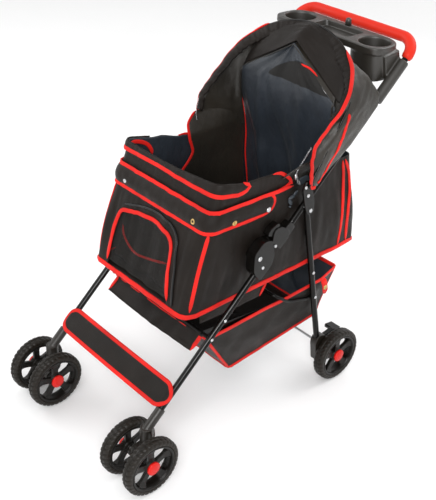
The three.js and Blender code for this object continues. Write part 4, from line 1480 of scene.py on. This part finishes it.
# ---------------------------------------------------------------- clip and zip puller at the hood's foot
def build_hood_clips():
    for word, side in SIDES:
        shape = Shape()
        for y0, z0, y1, z1, wide, thick in ((0.062, 0.606, 0.074, 0.586, 0.010, 0.006),
                                            (0.060, 0.607, 0.084, 0.612, 0.009, 0.007),
                                           (0.076, 0.611, 0.092, 0.622, 0.010, 0.005),
                                           (0.064, 0.586, 0.074, 0.582, 0.007, 0.006)):
            a, b = Vector((side * 0.1775, y0, z0)), Vector((side * 0.1775, y1, z1))
            sweep(shape, straight(a, b, 0.004), flat_section(wide, thick),
                  [Vector((side, 0, 0))] * len(straight(a, b, 0.004)), taper=rounded_end)
        clip = fix_normals(shape.object(f"hood_clip_{word}", CLIP))
        settled(clip, "front_frame", "black_plastic")
        band = Shape()
        path = smooth_path([(side * 0.176, 0.086, 0.640), (side * 0.183, 0.100, 0.648),
                            (side * 0.188, 0.116, 0.652)], 0.003)
        sweep(band, path, flat_section(0.020, 0.0025), [Vector((side, 0, 0.1))] * len(path),
              taper=rounded_end)
        tab = fix_normals(band.object(f"hood_tab_{word}", CLIP))
        settled(tab, "handle_frame", "black_plastic")
        teeth, metal = Shape(), Shape()
        line = smooth_path([(side * 0.177, 0.0775, 0.662), (side * 0.183, 0.0765, 0.680),
                            (side * 0.1905, 0.0800, 0.700),
                            (side * 0.1960, 0.0870, 0.720), (side * 0.1990, 0.0980, 0.738)], 0.0032)
        for i, (p, t) in enumerate(zip(line, tangents(line))):
            lean = Vector((side, 0, 0)).cross(t) * (0.0016 if i % 2 else -0.0016)
            sweep(teeth, [p + lean * 0.2 - lean, p + lean * 1.6], flat_section(0.0018, 0.0024),
                  [Vector((side, 0, 0))] * 2)
        settled(fix_normals(teeth.object(f"zip_teeth_{word}", STEEL)), "handle_frame", "steel")
        start = line[0]
        sweep(metal,
                [start + Vector((side * 0.002, -0.001, 0.008)),
                 start + Vector((side * 0.003, 0.001, -0.006))],
              flat_section(0.010, 0.006), [Vector((side, 0, 0))] * 2)
        pull = [start + Vector((side * 0.0052, 0.001 + 0.0021 * i, -0.004 - 0.0035 * i)) for i in range(7)]
        sweep(metal, pull, flat_section(0.0070, 0.0020), [Vector((side, 0, 0))] * 7, taper=rounded_end)
        settled(fix_normals(metal.object(f"zip_puller_{word}", STEEL)), "handle_frame", "steel")


build_hood_clips()


# ---------------------------------------------------------------- basket
BASKET_LOW = {"half": 0.158, "front": -0.083, "rear": 0.240, "r_front": 0.012, "r_rear": 0.012}
BASKET_TOP = {"half": 0.1815, "front": -0.186, "rear": 0.288, "r_front": 0.010, "r_rear": 0.010}


def basket_point(s, v, out=0.0):
    """On the basket's wall: s as on the cabin's plan, v from its floor to its top edge."""
    plan = {key: lerp(BASKET_LOW[key], BASKET_TOP[key], v) for key in BASKET_LOW}
    p = on_plan(s, plan)
    share = (p.y - plan["front"]) / (plan["rear"] - plan["front"])
    low = lerp(0.157, 0.193, share)
    high = along_table([(0.0, 0.306), (0.45, 0.317), (0.82, 0.323), (1.0, 0.329)], share)
    p.x *= 1 - 0.075 * clamp((share - 0.84) / 0.16) * v
    q = on_plan(s + 0.004, plan)
    tangent = (q - p).normalized()
    face = Vector((tangent.y, -tangent.x, 0))
    belly = 0.004 * math.sin(math.pi * v) + 0.003 * noise.noise(Vector((s * 8, v * 3,
            20))) * (0.3 + math.sin(math.pi * v))
    sag = 0.003 * math.sin(math.pi * (s % 1)) * v
    return Vector((p.x, p.y, lerp(low, high, v) - sag)) + face * (belly + out)


def basket_normal(s, v):
    a = basket_point(s + 0.01, v) - basket_point(s - 0.01, v)
    b = basket_point(s, v + 0.03) - basket_point(s, v - 0.03)
    return a.cross(b).normalized()


def basket_tape(shape, marks, out=0.001, width=0.010, closed=False):
    path = smooth_path([Vector((s, v, 0)) for s, v in marks], 0.03, closed)
    points = [basket_point(p.x, p.y, out) for p in path]
    return sweep(shape, points, flat_section(width, 0.0045), [basket_normal(p.x, p.y) for p in path],
                 closed,
                 taper=None if closed else rounded_end)


def build_basket():
    samples = np.linspace(0, 4, 240, endpoint=False)
    rows = [[basket_point(s, i / 20) for s in samples] for i in range(21)]
    shape = Shape().grid(rows, closed=True)
    floor = []
    for i in range(12):
        share = 1 - i / 11 * 0.995
        row = []
        for s in samples:
            p = basket_point(s, 0)
            middle = Vector((0, 0.078, 0.176))
            q = middle.lerp(p, share)
            row.append(q - Vector((0, 0, 0.007 * (1 - share ** 2))))
        floor.append(row)
    shape.grid(floor, closed=True)
    basket = thick_cloth(shape.object("basket_cloth", CLOTH, LINING))
    settled(basket, "front_frame", "cloth", "basket")
    sinks_on_basket(basket)
    tape = Shape()
    basket_tape(tape, [(s, 0.0) for s in np.linspace(0, 4, 60, endpoint=False)], closed=True)
    basket_tape(tape, [(s, 1.0) for s in np.linspace(0, 4, 60, endpoint=False)], closed=True)
    for s in (1.0, 2.0, 3.0, 4.0):
        basket_tape(tape, [(s, v) for v in (0, 0.25, 0.5, 0.75, 1.0)], width=0.008)
    piping = tape.object("basket_piping", TAPE)
    settled(piping, "front_frame", "cloth")
    sinks_on_basket(piping)


def build_apron():
    """The cloth lip before the basket, hung between the front legs, with bound ends."""
    rows = []
    for i in range(9):
        v = i / 8
        row = []
        for k in range(61):
            t = lerp(-1, 1, k / 60)
            sag = 0.006 * math.cos(t * math.pi / 2)
            p = Vector((t * 0.166, lerp(-0.222, -0.186, v ** 0.7), lerp(0.281, 0.316, v) - sag))
            row.append(p + Vector((0, -1, 0.4)) * 0.003 * noise.noise(Vector((t * 5, v * 2, 30))))
        rows.append(row)
    apron = thick_cloth(Shape().grid(rows).object("basket_apron", CLOTH, LINING))
    settled(apron, "front_frame", "cloth")
    shape = Shape()
    for side, column in ((1, 60), (-1, 0)):
        points = smooth_path([row[column] for row in rows], 0.006)
        sweep(shape, points, flat_section(0.010, 0.005),
              [Vector((side * 0.3, -1, 0.4)).normalized()] * len(points), taper=rounded_end)
    settled(shape.object("apron_piping", TAPE), "front_frame", "cloth")


def build_hem_skirts():
    """A strip of cloth below each side of the cabin's hem, with a bound rear end."""
    for word, side in SIDES:
        rows = []
        for i in range(7):
            v = i / 6
            row = []
            for k in range(41):
                y = lerp(-0.200, lerp(-0.0065, 0.0160, v), k / 40)
                z = lerp(0.354, 0.392, v) - 0.002 * math.sin(math.pi * k / 40)
                row.append(Vector((side * (0.1725 + 0.0015 * noise.noise(Vector((y * 30, z * 20, side)))),
                                   y, z)))
            rows.append(row)
        skirt = thick_cloth(Shape().grid(rows).object(f"hem_skirt_{word}", CLOTH, LINING))
        settled(skirt, "front_frame", "cloth")
        cut_size(rows)
        sinks_with_fold(skirt)
        ends = [row[-1] + Vector((side * 0.0015, 0, 0)) for row in rows]
        shape = Shape()
        sweep(shape, ends, flat_section(0.008, 0.004), [Vector((side, 0, 0))] * len(ends),
              taper=rounded_end)
        sinks_with_fold(settled(shape.object(f"hem_skirt_piping_{word}", TAPE), "front_frame", "cloth"))


def build_basket_strap():
    """A short snapped strap at each rear top corner of the basket."""
    for word, side in SIDES:
        path = smooth_path([(side * 0.179, 0.222, 0.322), (side * 0.1845, 0.228, 0.306),
                            (side * 0.182, 0.240, 0.268)], 0.004)
        shape = Shape()
        sweep(shape, path, flat_section(0.020, 0.003), [Vector((side, 0, 0.1))] * len(path),
              taper=rounded_end)
        strap = fix_normals(shape.object(f"basket_strap_{word}", TAPE))
        sinks_on_basket(settled(strap, "front_frame", "cloth"))
        button = snap(Shape(), (side * 0.1845, 0.232, 0.292), (side, 0, 0), ring=True)
        sinks_on_basket(settled(button.object(f"basket_snap_{word}", BRASS), "front_frame", "steel"))


build_basket()
build_apron()
build_hem_skirts()
build_basket_strap()


# ---------------------------------------------------------------- foot band
def build_foot_band():
    """A stiff band of cloth wrapped round both front legs, bound in red."""
    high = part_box("foot_band")[1]
    half = high.x - 0.004
    tall = 0.060
    start = leg_at(0.186)
    centre = Vector((0, start.y, start.z)) + FRAME_UP * (tall / 2) + FRAME_OUT * 0.0104

    def at(x, h, out=0.0):
        """h from -1 to 1 up the band; the ends curl back round the legs."""
        curl = clamp((abs(x) - (LEG_X - 0.004)) / 0.016)
        back = 0.010 * curl ** 2
        sag = 0.0012 * math.cos(x / half * math.pi / 2)
        crown = 0.0015 * (1 - h * h)
        return (Vector((x, 0, 0)) + centre + FRAME_UP * (h * tall / 2 - sag)
                + FRAME_OUT * (out - back + crown))

    def half_height(x):
        end = clamp((abs(x) - (half - 0.030)) / 0.030)
        return math.sqrt(max(0.0009, 1 - end ** 2))
    rows = []
    for i in range(13):
        row = []
        for k in range(121):
            t = lerp(-1, 1, k / 120)
            x = half * math.sin(t * math.pi / 2)
            row.append(at(x, lerp(-1, 1, i / 12) * half_height(x)))
        rows.append(row)
    band = thick_cloth(Shape().grid(rows).object("foot_band_cloth", CLOTH, CLOTH), 0.003)
    settled(band, "front_frame", "cloth", "foot_band")
    outline = [(x, 1) for x in np.linspace(half - 0.030, -half + 0.030, 40)]
    outline += [(-(half - 0.030) - 0.030 * math.sin(a), math.cos(a))
                for a in np.linspace(0, math.pi, 16)[1:-1]]
    outline += [(x, -1) for x in np.linspace(-half + 0.030, half - 0.030, 40)]
    outline += [((half - 0.030) + 0.030 * math.sin(a), -math.cos(a))
                for a in np.linspace(0, math.pi, 16)[1:-1]]
    shape = Shape()
    points = [at(x, h, 0.0004) for x, h in outline]
    sweep(shape, points, flat_section(TAPE_W, 0.006), [FRAME_OUT] * len(points), closed=True)
    settled(shape.object("foot_band_piping", TAPE), "front_frame", "cloth")


build_foot_band()


# ---------------------------------------------------------------- floor pad
def build_pad():
    """The cabin's loose floor cushion, plumped by a short cloth simulation."""
    low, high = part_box("floor_pad")
    half, front, rear = 0.160, low.y + 0.016, 0.236
    thick = 0.011

    def height(y):
        return lerp(0.4015, 0.4165, (y - low.y) / (high.y - low.y))
    shape = Shape()
    nx, ny = 36, 52
    rows = []
    for side in (-1, 1):
        rows.append([[Vector((lerp(-half, half, i / nx), lerp(front, rear, j / ny),
                              height(lerp(front, rear, j / ny)) + side * thick / 2))
                      for i in range(nx + 1)] for j in range(ny + 1)])
    for k, layer in enumerate(rows):
        shape.grid(layer)
    width = nx + 1
    rim = [(i, 0) for i in range(nx)] + [(nx, j) for j in range(ny)] + [(i, ny)
            for i in range(nx, 0, -1)] + [(0, j) for j in range(ny, 0, -1)]
    index = [j * width + i for i, j in rim]
    layer = width * (ny + 1)
    n = len(index)
    shape.faces += [(index[k], index[(k + 1) % n], layer + index[(k + 1) % n], layer + index[k])
                    for k in range(n)]
    shape.marks += [0] * n
    pad = fix_normals(shape.object("floor_cushion", PAD_CLOTH))
    rest = [v.co.copy() for v in pad.data.vertices]
    cloth = modified(pad, "CLOTH", "cloth")
    cloth.settings.use_pressure = True
    cloth.settings.uniform_pressure_force = 4
    cloth.settings.effector_weights.gravity = 0
    cloth.settings.shrink_min = -0.02
    cloth.settings.quality = 6
    scene = bpy.context.scene
    for f in range(1, 16):
        scene.frame_set(f)
    applied(pad)
    for v, home in zip(pad.data.vertices, rest):
        move = v.co - home
        if move.length > 0.008:
            v.co = home + move.normalized() * 0.008
    scene.frame_set(1)
    modified(pad, "SUBSURF", "smooth", levels=1, render_levels=1)
    applied(pad)
    settled(pad, "front_frame", "cloth", "floor_pad")
    sinks_with_fold(pad)


build_pad()


# ---------------------------------------------------------------- stage, light and camera
def plain_look(name, colour, roughness):
    look = Look(name, colour, roughness)
    look.shade(look.noise(3), 0.985, 1.0)
    return look.material


def build_stage():
    rows = []
    for y in (*np.linspace(-6, 3.2, 6),
              *(3.2 + 1.6 * math.sin(a) for a in np.linspace(0.1, math.pi / 2, 12))):
        z = 0.0 if y <= 3.2 else 1.6 - math.sqrt(max(0.0, 1.6 ** 2 - (y - 3.2) ** 2))
        rows.append([Vector((x, y, z)) for x in np.linspace(-7, 7, 5)])
    rows.append([Vector((x, 4.8, 5)) for x in np.linspace(-7, 7, 5)])
    floor = Shape().grid([[Vector((p.x, p.y, p.z - 0.0005)) for p in row]
            for row in rows]).object("floor", plain_look("pale_floor", (0.93, 0.93, 0.93), 0.8))
    world = bpy.data.worlds.new("soft_room")
    bpy.context.scene.world = world
    world.use_nodes = True
    world.node_tree.nodes["Background"].inputs["Color"].default_value = (1, 1, 1, 1)
    world.node_tree.nodes["Background"].inputs["Strength"].default_value = 0.80
    for name, at, size, power in (("key", (2.2, -2.6, 3.0), 1.6, 66), ("fill", (-2.8, -1.6, 2.4), 2.2, 42),
                                  ("rim", (0.6, 2.6, 2.6), 1.8, 38),
                                  ("front", (1.75, -1.60, 1.75), 0.5, 18)):
        data = bpy.data.lights.new(name, "AREA")
        data.size, data.energy = size, power
        lamp = bpy.data.objects.new(name, data)
        lamp.location = at
        lamp.rotation_euler = (Vector((0, 0, 0.5)) - Vector(at)).to_track_quat("-Z", "Y").to_euler()
        bpy.context.scene.collection.objects.link(lamp)


CAMERA = {"azimuth": 46.8323, "elevation": 30.289, "roll": 3.3374, "place": (1.4794, -1.3851, 1.6105),
          "lens": 65.82,
          "shift": (0.00145, -0.01663)}


def build_camera():
    azimuth, elevation, roll = (math.radians(CAMERA[k]) for k in ("azimuth", "elevation", "roll"))
    back = Vector((math.sin(azimuth) * math.cos(elevation), -math.cos(azimuth) * math.cos(elevation),
                   math.sin(elevation)))
    right = (-back).cross(Vector((0, 0, 1))).normalized()
    up = right.cross(-back)
    right, up = right * math.cos(roll) + up * math.sin(roll), up * math.cos(roll) - right * math.sin(roll)
    data = bpy.data.cameras.new("camera")
    data.lens, data.sensor_width = CAMERA["lens"], 36
    data.shift_x, data.shift_y = CAMERA["shift"]
    camera = bpy.data.objects.new("camera", data)
    camera.matrix_world = Matrix((right, up, back)).transposed().to_4x4()
    camera.location = CAMERA["place"]
    bpy.context.scene.collection.objects.link(camera)
    bpy.context.scene.camera = camera
    bpy.context.scene.view_settings.view_transform = "Standard"


build_stage()
build_camera()
